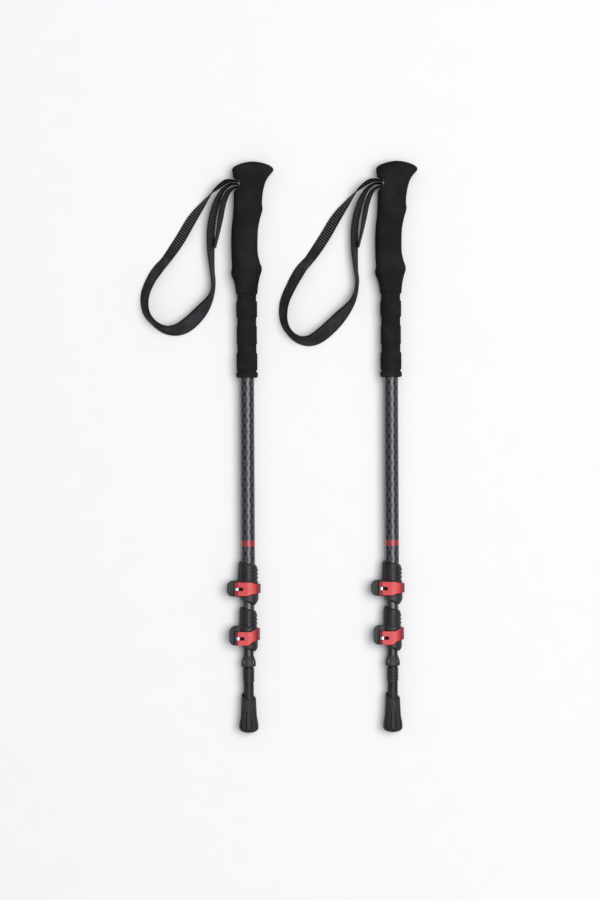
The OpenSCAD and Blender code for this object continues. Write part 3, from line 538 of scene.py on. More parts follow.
DOME_POWER, DOME_SIDE_POWER, DOME_SWEEP = 1.25, 0.7, 88
CREASE_Z, CREASE_W, CREASE_DEEP = 29.2, 0.7, 0.35
GRIP_POINTS = 72
NOTCH = [(-24, 10.4), (-10, 6), (-7, 4.2), (-7, -4), (-10, -6.2), (-24, -13)]
grip_low, grip_high = pole_z("left_foam_grip")
head_z = grip_high - DOME_H


def along(stations, s):
    """Smooth curve through a list of stations."""
    last = len(stations) - 1
    i = max(k for k in range(last) if stations[k][0] <= s)

    def slope(k):
        a, b = max(k - 1, 0), min(k + 1, last)
        return (stations[b][1] - stations[a][1]) / (stations[b][0] - stations[a][0])

    (s0, y0), (s1, y1) = stations[i], stations[i + 1]
    step, u = s1 - s0, (s - s0) / (s1 - s0)
    return ((2 * u**3 - 3 * u**2 + 1) * y0 + (u**3 - 2 * u**2 + u) * step * slope(i)
            + (3 * u**2 - 2 * u**3) * y1 + (u**3 - u**2) * step * slope(i + 1))


def soft(value, power):
    return math.copysign(abs(value) ** power, value)


def grip_stations():
    """Sections of the grip from its foot up, as (z, back, front, half depth)."""
    heights = {grip_low + 1.5 * k for k in range(int((head_z - grip_low) / 1.5) + 1)}
    crease = grip_low + CREASE_Z
    heights |= {crease + CREASE_W * k / 2 for k in range(-4, 5)}
    sections = [(grip_low, 1.0)] + [(grip_low + 1.2 * (1 - math.cos(t)), 1.2 * (1 - math.sin(t)))
                                     for t in (0.4, 0.8, 1.2)]
    sections += [(z, 0.0) for z in sorted(heights) if z > grip_low + 1.2] + [(head_z, 0.0)]
    for z, pull in sections:
        s = (z - grip_low) / (head_z - grip_low)
        pull += CREASE_DEEP * math.exp(-(((z - crease) / CREASE_W) ** 2))
        yield z, along(GRIP_BACK, s) + pull, along(GRIP_FRONT, s) - pull, GRIP_HALF * along(GRIP_SIDE, s) - pull
    back, front, half = GRIP_BACK[-1][1], GRIP_FRONT[-1][1], GRIP_HALF * GRIP_SIDE[-1][1]
    for k in range(1, 15):
        a = math.radians(DOME_SWEEP * k / 14)
        reach = (front - back) / 2 * math.cos(a) ** DOME_POWER
        z = head_z + DOME_H * math.sin(a) / math.sin(math.radians(DOME_SWEEP))
        yield z, (front + back) / 2 - reach, (front + back) / 2 + reach, half * math.cos(a) ** DOME_SIDE_POWER


def cut(piece, cutters):
    """Takes the cutters' shapes out of a piece and removes the cutters."""
    for cutter in cutters:
        carve = piece.modifiers.new("carve", "BOOLEAN")
        carve.operation, carve.object, carve.solver = "DIFFERENCE", cutter, "EXACT"
    mesh = bpy.data.meshes.new_from_object(piece.evaluated_get(bpy.context.evaluated_depsgraph_get()))
    piece.modifiers.clear()
    piece.data = mesh
    for cutter in cutters:
        bpy.data.objects.remove(cutter)


def prism(name, side, outline, half, z0):
    """A block with the given outline seen from above, reaching half up and half down."""
    bm = bmesh.new()
    floor = [bm.verts.new(pole_point(side, x, -half, z0 + z)) for x, z in outline]
    face = bm.faces.new(floor)
    raised = bmesh.ops.extrude_face_region(bm, geom=[face])["geom"]
    bmesh.ops.translate(bm, vec=(0, 0, 2 * half * MM), verts=[g for g in raised if isinstance(g, bmesh.types.BMVert)])
    bmesh.ops.recalc_face_normals(bm, faces=bm.faces[:])
    return new_piece(name, bm)


grips = []
for side in SIDES:
    bm = bmesh.new()
    turn = bm.verts.layers.float.new("turn")
    circle = bmesh.ops.create_circle(bm, cap_ends=False, segments=GRIP_POINTS, radius=1)["verts"]
    for v in circle:
        v[turn] = math.atan2(v.co.y, v.co.x)
    ring, verts = bm.edges[:], circle
    for k, (z, back, front, half) in enumerate(grip_stations()):
        if k:
            ring, verts = next_ring(bm, ring)
        for v in verts:
            x = (front + back) / 2 + (front - back) / 2 * soft(math.cos(v[turn]), SECTION_POWER)
            v.co = pole_point(side, x, half * soft(math.sin(v[turn]), SECTION_POWER), z)
        if k == 0:
            bmesh.ops.contextual_create(bm, geom=ring)
    bmesh.ops.contextual_create(bm, geom=ring)
    bmesh.ops.recalc_face_normals(bm, faces=bm.faces[:])
    grip = new_piece(f"{side}_moulded_grip", bm)
    slot_z = 1000 * (pins[side].y - foot_y)
    cut(grip, [prism("notch_cutter", side, NOTCH, 20, slot_z)])
    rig.ride(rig.replaces(grip, f"{side}_foam_grip"), side + "_upper")
    grips.append(grip)
    print(grip.name, len(grip.data.polygons), "faces")

# %% [markdown]
# The sleeve below the grip is a foam tube with wide bands and shallow grooves. It is round, so one
# profile is drawn from the lower end to the upper and spun once about the pole's axis.

# %% Foam sleeves
SLEEVE_BAND, SLEEVE_GROOVE, SLEEVE_LIP = 11.7, 10.8, 12.3
SLEEVE_BORE = 8.05
SLEEVE_TURNS = 96
# Drop of a groove's upper edge below the grip, and its length
SLEEVE_GROOVES = [(0, 8), (26.5, 10), (57, 10), (86.5, 2.5)]
SLEEVE_SLOPE = 1.3


def lathe(name, side, profile, turns, closed=True):
    """Spins a profile of (radius, z) about the axis of a pole."""
    bm = bmesh.new()
    verts = [bm.verts.new(pole_point(side, r, 0, z)) for r, z in profile]
    edges = [bm.edges.new(pair) for pair in zip(verts, verts[1:] + verts[:1] if closed else verts[1:])]
    bmesh.ops.spin(bm, geom=verts + edges, cent=axes[side], axis=(0, 1, 0), dvec=(0, 0, 0), angle=2 * math.pi,
                   steps=turns, use_merge=True, use_duplicate=False)
    bmesh.ops.remove_doubles(bm, verts=bm.verts[:], dist=1e-6)
    bmesh.ops.recalc_face_normals(bm, faces=bm.faces[:])
    return new_piece(name, bm)


def sleeve_radius(drop, length):
    """Radius of the sleeve at a drop below the grip: bands, soft grooves, a rolled lip."""
    lip = drop > SLEEVE_GROOVES[-1][0] + SLEEVE_GROOVES[-1][1] / 2
    radius = SLEEVE_LIP if lip else SLEEVE_BAND + 0.25 * math.sin(math.pi * drop / 30)
    for top, long in SLEEVE_GROOVES:
        inside = min(drop - top, top + long - drop)
        u = min(max(inside / SLEEVE_SLOPE + 0.5, 0), 1)
        radius -= (radius - SLEEVE_GROOVE) * u * u * (3 - 2 * u)
    end = max(0, 1.6 - (length - drop))
    return radius - (1.6 - math.sqrt(max(1.6**2 - end**2, 0)))


sleeves = []
sleeve_low, sleeve_high = pole_z("left_foam_sleeve")
for side in SIDES:
    length = sleeve_high - sleeve_low
    drops = [length * k / 240 for k in range(241)]
    profile = [(sleeve_radius(d, length), sleeve_high - d) for d in drops]
    profile += [(SLEEVE_BORE, sleeve_low), (SLEEVE_BORE, sleeve_high)]
    sleeve = lathe(f"{side}_banded_sleeve", side, profile, SLEEVE_TURNS)
    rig.ride(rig.replaces(sleeve, f"{side}_foam_sleeve"), side + "_upper")
    sleeves.append(sleeve)
    print(sleeve.name, round(length, 1), "mm,", len(sleeve.data.polygons), "faces")

# %% [markdown]
# Clamps, levers, ferrule and boot are moulded or cast, and a mould never leaves a knife edge. Their
# solids have the right shape already, so each is copied, its loose triangles are merged, and its
# hard edges are bevelled round.

# %% Rounded copies of the moulded parts
EDGE_TURN = 28
RIB_ZONE, RIB_FRONT = (8.2, 21.7), 1.0
COLLAR_R = {"upper": 10.5, "lower": 9.5}
RIM_APART = 0.1 * MM


def on_rib(node, spot):
    """The half-round ribs of a clamp are round already, and too fine for a bevel."""
    drop = 1000 * (collar_top.get(node, 0) - spot.y)
    front = 1000 * (spot.x - axes[node.split("_")[0]].x)
    return node in collar_top and RIB_ZONE[0] < drop < RIB_ZONE[1] and front > RIB_FRONT


collar_top = {n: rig.box(n)[1].y for n in nodes if n.endswith("collar")}


STOP_LOW, STOP_WIDE, STOP_HIGH = 75.5, 77.3, 86.0
STOP_FOOT_R, STOP_TOP_R, STOP_BARREL_R = 8.5, 6.7, 8.45


def swell(bm, side):
    """The basket stop is a barrel with a rounded foot: its cone is cut into rings that move in or out."""
    heights = [STOP_LOW + h for h in (0.15, 0.45, 0.9, 1.4, 1.8, 2.6, 3.8, 5, 6.2, 7.4, 8.6, 9.6)]
    for z in heights:
        geom = bm.verts[:] + bm.edges[:] + bm.faces[:]
        bmesh.ops.bisect_plane(bm, geom=geom, dist=1e-7, plane_co=pole_point(side, 0, 0, z), plane_no=(0, 1, 0))
    for v in bm.verts:
        arm = Vector((v.co.x - axes[side].x, 0, v.co.z - axes[side].z))
        z, r = 1000 * (v.co.y - foot_y), 1000 * arm.length
        fall = max(0, (z - STOP_LOW - 2) / (STOP_HIGH - STOP_LOW - 2))
        cone = STOP_FOOT_R - (STOP_FOOT_R - STOP_TOP_R) * fall
        if STOP_LOW - 0.01 < z < STOP_HIGH and abs(r - cone) < 0.06:
            low, high = max(0, STOP_WIDE - z), max(0, z - STOP_WIDE) / (STOP_HIGH - STOP_WIDE)
            foot = STOP_WIDE - STOP_LOW
            want = STOP_BARREL_R - foot + math.sqrt(max(foot**2 - low**2, 0))
            want -= (STOP_BARREL_R - STOP_TOP_R) * high**2.2
            v.co += arm * (want / r - 1)


def relay_strips(bm, side, barrel_r):
    """Wall between two ribs that came as long triangles across the bore is laid anew, rim to rim."""
    def radius(spot):
        return 1000 * math.hypot(spot.x - axes[side].x, spot.z - axes[side].z)

    across = [f for f in bm.faces if radius(f.calc_center_median()) < barrel_r - 0.08
              and all(abs(radius(v.co) - barrel_r) < 0.03 for v in f.verts)]
    if not across:
        return
    rims = {v for f in across for v in f.verts}
    strip = [f for f in bm.faces if set(f.verts) <= rims]
    bmesh.ops.delete(bm, geom=strip, context="FACES")
    open_rims = [e for e in bm.edges if e.is_boundary and abs(e.verts[0].co.y - e.verts[1].co.y) < 1e-5]
    levels = []
    for y in sorted(e.verts[0].co.y for e in open_rims):
        if not levels or y - levels[-1] > RIM_APART:
            levels.append(y)
    for low, high in zip(levels[::2], levels[1::2]):
        pair = [e for e in open_rims if min(abs(e.verts[0].co.y - y) for y in (low, high)) < RIM_APART / 2]
        bmesh.ops.bridge_loops(bm, edges=pair)
    bmesh.ops.recalc_face_normals(bm, faces=bm.faces[:])
    print(len(strip), "long triangles relaid between", len(levels), "rims")


def rounded(node, edge, body, segments=3):
    side, place, kind = node.split("_")
    bm = bmesh.new()
    bm.from_mesh(nodes[node].data)
    bmesh.ops.remove_doubles(bm, verts=bm.verts[:], dist=1e-6)
    if kind == "ferrule":
        swell(bm, side)
    if kind == "collar":
        relay_strips(bm, side, COLLAR_R[place])
    plain = {e for e in bm.edges if not on_rib(node, (e.verts[0].co + e.verts[1].co) / 2)}
    hard = [e for e in plain if e.calc_face_angle(0) > math.radians(EDGE_TURN)]
    bmesh.ops.bevel(bm, geom=hard, offset=edge * MM, offset_type="OFFSET", affect="EDGES", segments=segments,
                    profile=0.5, material=-1, clamp_overlap=False)
    bmesh.ops.triangulate(bm, faces=bm.faces[:])
    piece = new_piece(node.replace("_", "_rounded_", 1), bm, 44)
    evened = piece.modifiers.new("even shading", "WEIGHTED_NORMAL")
    evened.keep_sharp = True
    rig.ride(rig.replaces(piece, node), body)
    return piece


PARTS = [
    ("upper_collar", 0.35, "upper"), ("lower_collar", 0.35, "middle"),
    ("upper_lever", 0.45, "upper_lever"), ("lower_lever", 0.45, "lower_lever"),
    ("upper_nut", 0.15, "upper_nut"), ("lower_nut", 0.15, "lower_nut"),
    ("upper_bolt", 0.2, "upper"), ("lower_bolt", 0.2, "middle"),
    ("tip_ferrule", 0.18, "lower"), ("rubber_boot", 0.4, "boot"),
]
dressed = {}
for side in SIDES:
    for part, edge, body in PARTS:
        dressed[f"{side}_{part}"] = rounded(f"{side}_{part}", edge, f"{side}_{body}")
print(len(dressed), "rounded pieces,", sum(len(p.data.polygons) for p in dressed.values()), "triangles")

# %% [markdown]
# Shader maths reads best as plain arithmetic. This small class holds one socket of a material;
# adding or multiplying sockets adds Math nodes, and one method makes any other node.

# %% Sockets that do arithmetic


class Socket:
    def __init__(self, tree, out):
        self.tree, self.out = tree, out

    def node(self, kind, output=0, settings=None, **inputs):
        """Any node: its settings first, then its sockets by name or, as i0, i1 and so on, by number."""
        made = self.tree.nodes.new("ShaderNode" + kind)
        for key, value in (settings or {}).items():
            if key == "stops":
                ramp = made.color_ramp
                while len(ramp.elements) < len(value):
                    ramp.elements.new(0.5)
                for element, (place, colour) in zip(ramp.elements, value):
                    element.position, element.color = place, (*colour, 1)
            else:
                setattr(made, key, value)
        for key, value in inputs.items():
            number = key[1:] if key[0] == "i" and key[1:].isdigit() else None
            socket = made.inputs[int(number) if number else key.replace("_", " ")]
            if isinstance(value, Socket):
                self.tree.links.new(value.out, socket)
            else:
                socket.default_value = value
        return Socket(self.tree, made.outputs[output])

    def math(self, operation, a, b=0.0, c=0.0):
        return self.node("Math", settings={"operation": operation}, i0=a, i1=b, i2=c)

    def __add__(self, other):
        return self.math("ADD", self, other)

    def __sub__(self, other):
        return self.math("SUBTRACT", self, other)

    def __mul__(self, other):
        return self.math("MULTIPLY", self, other)

    def __truediv__(self, other):
        return self.math("DIVIDE", self, other)

    def __radd__(self, other):
        return self.math("ADD", other, self)

    def __rsub__(self, other):
        return self.math("SUBTRACT", other, self)

    def __rmul__(self, other):
        return self.math("MULTIPLY", other, self)

    def between(self, low, high):
        """0 below low, 1 above high, and smooth in between."""
        return self.node("MapRange", settings={"interpolation_type": "SMOOTHSTEP"}, i0=self, i1=low, i2=high,
                         i3=0.0, i4=1.0)

    def parts(self):
        split = self.node("SeparateXYZ", i0=self).out.node
        return [Socket(self.tree, o) for o in split.outputs]

    def mixed(self, a, b):
        """Colour a where this is 0, colour b where it is 1."""
        mix = self.tree.nodes.new("ShaderNodeMix")
        mix.data_type = "RGBA"
        for socket, value in zip((mix.inputs[0], mix.inputs[6], mix.inputs[7]), (self, a, b)):
            if isinstance(value, Socket):
                self.tree.links.new(value.out, socket)
            else:
                socket.default_value = (*value, 1)
        return Socket(self.tree, mix.outputs[2])


def finish(name, build, **fixed):
    """A material whose build(place) gives the varying sockets, and fixed the plain numbers."""
    material = bpy.data.materials.new(name)
    material.use_nodes = True
    tree = material.node_tree
    shader = tree.nodes["Principled BSDF"]
    for key, value in fixed.items():
        shader.inputs[key.replace("_", " ")].default_value = value
    start = Socket(tree, tree.nodes.new("ShaderNodeTexCoord").outputs["Object"])
    for key, value in build(start).items():
        tree.links.new(value.out, shader.inputs[key.replace("_", " ")])
    return material


def bumped(height, strength, distance):
    return height.node("Bump", Strength=strength, Distance=distance, Height=height)


def grain(place, scale, detail=2.0):
    return place.node("TexNoise", Vector=place, Scale=scale, Detail=detail)


print("material kit ready")

# %% [markdown]
# Foam is matt and full of closed cells a few tenths of a millimetre wide. Small round cells make
# its bump, and slow noise makes it a little lighter where it has been handled.

# %% Foam
def foam(dark, light):
    def build(place):
        cells = place.node("TexVoronoi", settings={"feature": "F1"}, Vector=place, Scale=1500.0)
        fine = grain(place, 2600.0)
        pale_mask = grain(place, 45.0, 4.0).between(0.38, 0.68)
        speck = fine.between(0.35, 0.7)
        return {
            "Base_Color": (pale_mask * 0.6 + speck * 0.4).mixed(dark, light),
            "Roughness": 0.94 - 0.1 * pale_mask,
            "Normal": bumped(cells * 0.7 + fine * 0.6, 0.55, 0.00022),
        }
    return build


grip_foam = finish("grip_foam", foam((0.0115, 0.0105, 0.0115), (0.022, 0.0205, 0.0225)), Specular_IOR_Level=0.12)
sleeve_foam = finish("sleeve_foam", foam((0.0125, 0.0115, 0.0125), (0.024, 0.0225, 0.0245)), Specular_IOR_Level=0.12)
for piece in grips:
    piece.data.materials.append(grip_foam)
for piece in sleeves:
    piece.data.materials.append(sleeve_foam)
print("foam on", len(grips + sleeves), "pieces")

# %% [markdown]
# The webbing is woven from thick shiny yarns. Its ribs are in the mesh; the material adds the single
# yarns along the band, painted light and shade on the ribs, lighter on the crests and darker in the
# valleys, and a plain selvedge. It reads the place on the flat band that each point keeps.

# %% Webbing, pad cloth and thread
def flat_place(start):
    return start.node("Attribute", 1, settings={"attribute_name": "flat"}).parts()


def webbing_build(place):
    across, along, through = flat_place(place)
    rib_turn = along * (2 * math.pi / (RIB_PITCH * MM))
    # Painted light and shade: lighter on the ribs' crests and darker in the valleys.
    rib_shading = (rib_turn.math("COSINE", rib_turn) * 0.5 + 0.5).between(0.45, 0.85)
    plain = along.between(0.104, 0.127)
    rib_shading = rib_shading * (1 - plain) + 0.3 * plain
    yarn = across.math("SINE", across * (2 * math.pi / 0.00085)) * 0.5 + 0.5
    edge = across.math("ABSOLUTE", across).between(0.0062, 0.0068)
    fuzz = grain(place, 1800.0, 3.0)
    tone = rib_shading * 0.8 + yarn * 0.08 + fuzz * 0.14 - edge * 0.5
    return {
        "Base_Color": tone.between(0.1, 0.95).mixed((0.0015, 0.0013, 0.0016), (0.108, 0.102, 0.11)),
        "Roughness": 0.74 - 0.18 * rib_shading,
        "Normal": bumped(yarn * (0.4 + 0.6 * rib_shading) + fuzz * 0.5, 0.6, 0.00018),
    }


def pad_build(place):
    across, along, through = flat_place(place)
    knit = across.math("SINE", across * (2 * math.pi / 0.0011)) * across.math("SINE", along * (2 * math.pi / 0.0008))
    pale_mask = grain(place, 60.0, 3.0).between(0.35, 0.7)
    fuzz = grain(place, 2200.0, 2.0)
    rim = across.math("ABSOLUTE", across).between(0.0088, 0.0094)
    tone = 0.4 * pale_mask + 0.25 * fuzz + 0.2 * knit + 0.2 - 0.5 * rim
    return {
        "Base_Color": tone.between(0.0, 0.9).mixed((0.015, 0.014, 0.0155), (0.056, 0.053, 0.059)),
        "Roughness": 0.9 - 0.12 * pale_mask,
        "Normal": bumped(knit * 0.5 + fuzz * 0.5, 0.4, 0.00015),
    }


def thread_build(place):
    twist = grain(place, 3000.0, 1.0)
    return {
        "Base_Color": twist.between(0.3, 0.7).mixed((0.02, 0.02, 0.022), (0.06, 0.06, 0.065)),
        "Roughness": 0.7 - 0.15 * twist,
    }


webbing = finish("webbing", webbing_build, Specular_IOR_Level=0.15)
pad_cloth = finish("strap_padding", pad_build, Specular_IOR_Level=0.12)
thread_finish = finish("thread", thread_build)
for pieces, material in ((straps, webbing), (pads, pad_cloth), (threads, thread_finish)):
    for piece in pieces:
        piece.data.materials.append(material)
print("cloth on", len(straps + pads + threads), "pieces")

# %% [markdown]
# The shaft is braided: flat tows of fibre wind round it both ways and leave a lattice of diamonds
# under a clear gloss lacquer. The angle round the axis and the length along it give the two
# families of lines. One plain red ring is painted on the upper tube.

# %% Braided tubes
TOW_STARTS, DIAMOND_LEN = 8, 0.0121
RING_LOW, RING_HIGH, EDGE = -0.1128, -0.1060, 0.0001


def braid(axis):
    def build(place):
        x, y, z = place.parts()
        turn = x.math("ARCTAN2", x - axis.x, z - axis.z) * (TOW_STARTS / (2 * math.pi))
        step = y / DIAMOND_LEN
        lines, tows = [], []
        for way in (turn + step, turn - step):
            phase = way.math("FRACT", way)
            from_line = way.math("ABSOLUTE", phase - 0.5)
            lines.append(from_line.between(0.3, 0.43))
            tows.append(way.math("FRACT", way * 9.0))
        net = x.math("MAXIMUM", lines[0], lines[1])
        fibre = (tows[0] + tows[1]) * 0.5
        cloud = grain(place, 220.0, 3.0)
        tone = net * 0.75 + cloud * 0.22 + fibre * 0.06
        colour = tone.between(0.0, 1.0).mixed((0.004, 0.0035, 0.005), (0.075, 0.071, 0.082))
        painted = y.between(RING_LOW - EDGE, RING_LOW + EDGE) * (1 - y.between(RING_HIGH - EDGE, RING_HIGH + EDGE))
        return {
            "Base_Color": painted.mixed(colour, (0.34, 0.026, 0.036)),
            "Roughness": 0.42 - 0.1 * net,
            "Normal": bumped(net * 0.6 + fibre * 0.2, 0.12, 0.0001),
        }
    return build


def drawn_metal(dark, light):
    """Anodised tube with faint lines along it."""
    def build(place):
        x, y, z = place.parts()
        lines = grain(place.node("CombineXYZ", X=x, Y=y * 0.02, Z=z), 2500.0, 2.0)
        cloud = grain(place, 150.0, 3.0)
        return {
            "Base_Color": (lines * 0.6 + cloud * 0.4).between(0.25, 0.75).mixed(dark, light),
            "Roughness": 0.34 + 0.12 * lines,
            "Normal": bumped(lines, 0.15, 0.00004),
        }
    return build


bronze = finish("middle_tube", drawn_metal((0.045, 0.041, 0.038), (0.09, 0.083, 0.077)),
                Metallic=0.6, Coat_Weight=0.4, Coat_Roughness=0.2)
smoke = finish("lower_tube", drawn_metal((0.018, 0.017, 0.0165), (0.04, 0.038, 0.037)),
               Metallic=0.5, Coat_Weight=0.3, Coat_Roughness=0.22)
for side in SIDES:
    made = finish(f"{side}_braid", braid(axes[side]), Coat_Weight=0.5, Coat_Roughness=0.2, Specular_IOR_Level=0.3)
    for tube, material in (("upper_tube", made), ("middle_tube", bronze), ("lower_tube", smoke)):
        nodes[f"{side}_{tube}"].data.materials.clear()
        nodes[f"{side}_{tube}"].data.materials.append(material)
print("braid on 2 tubes, anodised finish on 4")

# %% [markdown]
# The hard parts: glass-filled plastic with a fine spark-eroded grain, red lacquered levers, steel,
# and rubber that is a little dusty. Painted highlight makes the clamps' ribs and the ferrule's thread
# crests paler, and painted shade darkens the gaps beside the levers' cams, the levers' cam ends and
# curled tips, the thread's grooves and the boot's flutes. The floors of the stop's windows are painted
# pale as a highlight.

# %% Plastics, metals and rubber
def plastic(dark, light, scale, rough):
    def build(place):
        fine = grain(place, scale, 2.0)
        slow = grain(place, 80.0, 3.0).between(0.35, 0.7)
        return {
            "Base_Color": (fine * 0.5 + slow * 0.5).mixed(dark, light),
            "Roughness": rough + 0.12 * slow,
            "Normal": bumped(fine, 0.25, 0.0001),
        }
    return build


def from_axis(place, axis):
    """Distance from the axis of a pole."""
    x, y, z = place.parts()
    across, up = x - axis.x, z - axis.z
    return x.math("SQRT", across * across + up * up)


def ramp(value, start, end, low, high):
    return value.node("MapRange", i0=value, i1=start, i2=end, i3=low, i4=high)


def clamp(axis, barrel_r):
    """Clamp plastic: painted highlight on the ribs and raised rims, and painted shade, black, in the gap beside the
    lever's cam.
    """
    def build(place):
        x, y, z = place.parts()
        fine = grain(place, 1400.0, 2.0)
        slow = grain(place, 80.0, 3.0).between(0.35, 0.7)
        radius, out = from_axis(place, axis), axis.x - x
        # Painted highlight: paler just above the barrel's surface, on the ribs and raised rims.
        rib_highlight = radius.between(barrel_r + 0.1 * MM, barrel_r + 0.7 * MM)
        rib_highlight = rib_highlight * (1 - 0.8 * radius.between(barrel_r + 1.2 * MM, barrel_r + 2 * MM))
        # Painted shade: black in the gap between the ear's guard and the lever's cam.
        pocket = out.between(13.2 * MM, 13.8 * MM) * (1 - out.between(POCKET_OUT, POCKET_OUT + 0.6 * MM))
        tone = fine * 0.3 + slow * 0.3 + rib_highlight * 0.4
        outside_pocket = tone.mixed((0.013, 0.0122, 0.0137), (0.044, 0.0425, 0.046))
        return {
            "Base_Color": pocket.mixed(outside_pocket, (0.002, 0.002, 0.002)),
            "Roughness": 0.36 + 0.12 * slow,
            "Normal": bumped(fine, 0.25, 0.0001),
        }
    return build


def lacquer(axis):
    """Red lacquer, with painted shade at the cam end and where the tip curls down."""
    def build(place):
        x, y, z = place.parts()
        fine = grain(place, 900.0, 2.0)
        slow = grain(place, 80.0, 3.0).between(0.35, 0.7)
        out = axis.x - x
        # Painted shade: low marks where the tip curls down at the front, cam marks the cam end; both turn dark red.
        low = (1 - (z - axis.z).between(8.2 * MM, 12.7 * MM)) * (1 - out.between(0.0, 2 * MM))
        cam = out.between(10.9 * MM, 11.8 * MM) * (1 - 0.6 * out.between(13.3 * MM, 13.9 * MM))
        red = (fine * 0.5 + slow * 0.5).mixed((0.64, 0.052, 0.056), (0.76, 0.082, 0.082))
        return {
            "Base_Color": x.math("MAXIMUM", low, cam).mixed(red, (0.20, 0.014, 0.030)),
            "Roughness": 0.48 + 0.12 * slow,
            "Normal": bumped(fine, 0.25, 0.0001),
        }
    return build


POCKET_OUT = 16.9 * MM
clamps = {(s, p): finish(f"{s}_{p}_clamp_plastic", clamp(axes[s], r * MM), Specular_IOR_Level=0.25)
          for s in SIDES for p, r in COLLAR_R.items()}
levers = {s: finish(f"{s}_red_lever", lacquer(axes[s]), Coat_Weight=0.12, Coat_Roughness=0.3) for s in SIDES}
black_plastic = finish("black_plastic", plastic((0.010, 0.010, 0.011), (0.022, 0.022, 0.024), 1400.0, 0.5))


def ferrule(axis):
    def build(place):
        x, y, z = place.parts()
        fine = grain(place, 1100.0, 2.0)
        slow = grain(place, 80.0, 3.0).between(0.35, 0.7)
        rise, radius = y - foot_y, from_axis(place, axis)
        # Painted light and shade of the thread: paler beyond the thread's root, a painted highlight on the crests that
        # also makes the stop paler, and black in the grooves as painted shade.
        pale_mask = radius.between(THREAD_R - 0.5 * MM, THREAD_R - 0.15 * MM)
        groove = rise.between(58.8 * MM, 59.2 * MM) * (1 - rise.between(75 * MM, 75.4 * MM)) * (1 - pale_mask)
        # Painted highlight: the floors of the stop's windows are pale grey.
        window_highlight = rise.between(76.8 * MM, 77.6 * MM) * (1 - rise.between(83.6 * MM, 84.4 * MM))
        window_highlight = window_highlight * (1 - radius.between(6.55 * MM, 6.75 * MM))
        tone = fine * 0.25 + slow * 0.25 + pale_mask * 0.5
        black = groove.mixed(tone.mixed((0.007, 0.007, 0.0075), (0.05, 0.049, 0.053)), (0.001, 0.001, 0.001))
        return {
            "Base_Color": window_highlight.mixed(black, (0.34, 0.34, 0.35)),
            "Roughness": 0.44 + 0.12 * slow,
            "Normal": bumped(fine, 0.2, 0.0001),
        }
    return build


def rubber(axis):
    def build(place):
        x, y, z = place.parts()
        fine = grain(place, 1700.0, 2.0)
        slow = grain(place, 80.0, 3.0).between(0.35, 0.7)
        rise = y - foot_y
        low_r, mid_r, high_r = (d / 2 * MM for d in BOOT_D)
        low_z, mid_z, high_z = (h * MM for h in BOOT_AT)
        skin = ramp(rise, low_z, mid_z, low_r, mid_r) + ramp(rise, mid_z, high_z, 0.0, high_r - mid_r)
        # Painted shade: the flutes, sunk below the boot's skin, are near black.
        flute_shade = (skin - from_axis(place, axis)).between(0.12 * MM, 0.5 * MM) * (1 - rise.between(24 * MM, 26 * MM))
        foot = 1 - rise.between(2 * MM, 7 * MM)
        dust = fine * 0.4 + slow * 0.6 - 0.5 * foot
        return {
            "Base_Color": flute_shade.mixed(dust.mixed((0.010, 0.0095, 0.0105), (0.028, 0.0265, 0.029)), (0.0015, 0.0015, 0.0015)),
            "Roughness": 0.62 + 0.14 * slow,
            "Normal": bumped(fine, 0.25, 0.0001),
        }
    return build


THREAD_R = 6.7 * MM
BOOT_D, BOOT_AT = (22.0, 18.4, 17.4), (9.6, 20.0, 28.8)
ferrules = {side: finish(f"{side}_ferrule_plastic", ferrule(axes[side]), Specular_IOR_Level=0.3) for side in SIDES}
boots = {side: finish(f"{side}_boot_rubber", rubber(axes[side])) for side in SIDES}


def steel_build(place):
    x, y, z = place.parts()
    brush = grain(place, 2400.0, 2.0)
    slow = grain(place, 300.0, 2.0)
    return {
        "Base_Color": slow.between(0.3, 0.7).mixed((0.62, 0.62, 0.64), (0.80, 0.80, 0.81)),
        "Roughness": 0.2 + 0.2 * brush,
        "Normal": bumped(brush, 0.1, 0.00005),
    }


steel = finish("steel", steel_build, Metallic=1.0)
worn_steel = finish("strap_pin_steel", plastic((0.10, 0.10, 0.11), (0.20, 0.20, 0.21), 2400.0, 0.45), Metallic=1.0)
carbide = finish("carbide", plastic((0.2, 0.2, 0.21), (0.32, 0.32, 0.33), 1500.0, 0.4), Metallic=1.0)
FINISHES = {
    "nut": black_plastic, "bolt": steel, "pin": steel, "strap_pin": worn_steel, "wedge": black_plastic,
    "core": black_plastic, "bush": black_plastic, "carbide_tip": carbide,
}
SLOTS = {
    "collar": "clamp_plastic", "lever": "red_lever", "nut": "black_plastic", "bolt": "steel",
    "ferrule": "ferrule_plastic", "boot": "boot_rubber",
}
for name, piece in dressed.items():
    side, place, kind = name.split("_")
    own = {"ferrule": ferrules[side], "boot": boots[side], "lever": levers[side], "collar": clamps.get((side, place))}
    piece.data.materials.append(own.get(kind) or FINISHES[kind])
    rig.slot(piece, SLOTS[kind])
for side in SIDES:
    for part in ("strap_pin", "strap_wedge", "grip_core", "middle_bush", "lower_bush", "carbide_tip",
                 "upper_lever_pin", "lower_lever_pin"):
        kind = part if part in FINISHES else part.split("_")[-1]
        nodes[f"{side}_{part}"].data.materials.clear()
        nodes[f"{side}_{part}"].data.materials.append(FINISHES[kind])
for pieces, slot in ((grips, "grip_foam"), (sleeves, "sleeve_foam"), (straps, "webbing"), (pads, "strap_padding"),
                     (threads, "webbing")):
    for piece in pieces:
        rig.slot(piece, slot)
print("finishes:", sorted({m.name for m in bpy.data.materials if m.users}))

# %% [markdown]
# The studio: a pale floor that takes the soft shadows, one large soft lamp to the right, and an even
# pale sky that fills them. Together they light a surface at about the level at which its
# colour is written.

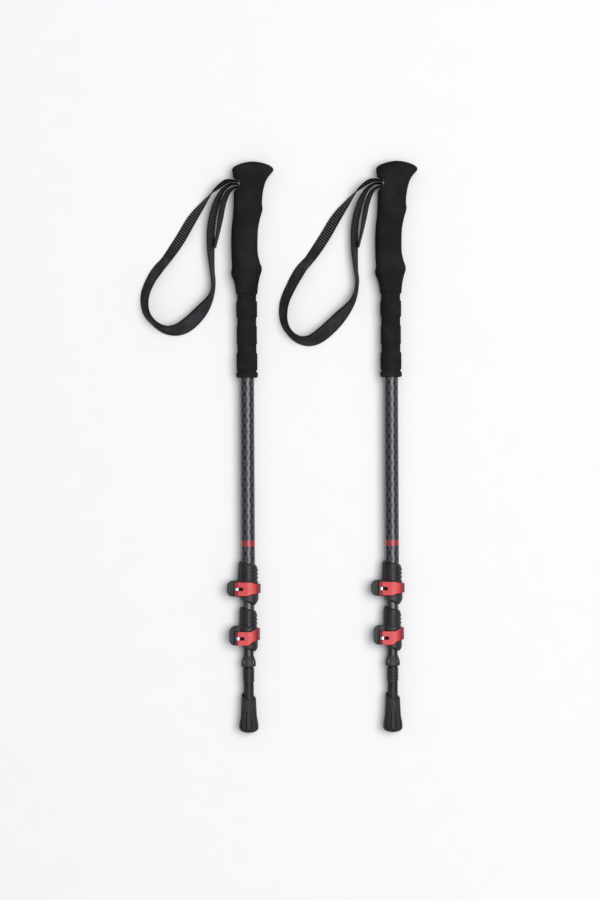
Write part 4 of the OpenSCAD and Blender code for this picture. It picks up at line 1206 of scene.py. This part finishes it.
# %% Floor, light and sky
floor_bm = bmesh.new()
bmesh.ops.create_grid(floor_bm, x_segments=1, y_segments=1, size=6)
floor = new_piece("floor", floor_bm)
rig.stage(floor)


def floor_build(place):
    speck = grain(place, 30.0, 2.0).between(0.2, 0.8)
    ray = place.node("LightPath").out.node.outputs
    seen = Socket(place.tree, ray["Is Camera Ray"])
    for kind in ("Is Glossy Ray", "Is Transmission Ray"):
        seen = seen.math("MAXIMUM", seen, Socket(place.tree, ray[kind]))
    paper = speck.mixed((0.955, 0.955, 0.96), (0.965, 0.965, 0.97))
    return {"Base_Color": seen.mixed((0.36, 0.36, 0.37), paper)}


floor.data.materials.append(finish("pale_floor", floor_build, Roughness=0.9, Specular_IOR_Level=0.1))

LAMP_AT, LAMP_SIZE, LAMP_WATT = Vector((1.6, 0.4, 5.4)), 3.6, 247
lamp = bpy.data.objects.new("soft_lamp", bpy.data.lights.new("soft_lamp", "AREA"))
lamp.data.shape, lamp.data.size, lamp.data.energy = "SQUARE", LAMP_SIZE, LAMP_WATT
lamp.location = LAMP_AT
lamp.rotation_euler = (-LAMP_AT).to_track_quat("-Z", "Y").to_euler()
scene.collection.objects.link(lamp)

world = bpy.data.worlds.new("pale_sky")
scene.world = world
world.use_nodes = True
sky = world.node_tree.nodes["Background"]
way = Socket(world.node_tree, world.node_tree.nodes.new("ShaderNodeTexCoord").outputs["Generated"])
height = way.parts()[2]
tone = (height * height).mixed((0.088, 0.086, 0.092), (0.60, 0.588, 0.625))
backdrop = way.node("LightPath").mixed(tone, (0.80, 0.80, 0.81))
world.node_tree.links.new(backdrop.out, sky.inputs["Color"])
scene.view_settings.view_transform = "Standard"
print("lamp", LAMP_WATT, "W")

# %% [markdown]
# Last, the size of the dressed model is written beside the size of the solid one.

# %% Sizes and finish
visual_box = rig.bounds()
with open("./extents.json", "w") as out:
    json.dump({"cad": [list(p) for p in cad_box], "visual": [list(p) for p in visual_box]}, out)
print("solid", [[round(1000 * c, 1) for c in p] for p in cad_box])
print("dressed", [[round(1000 * c, 1) for c in p] for p in visual_box])
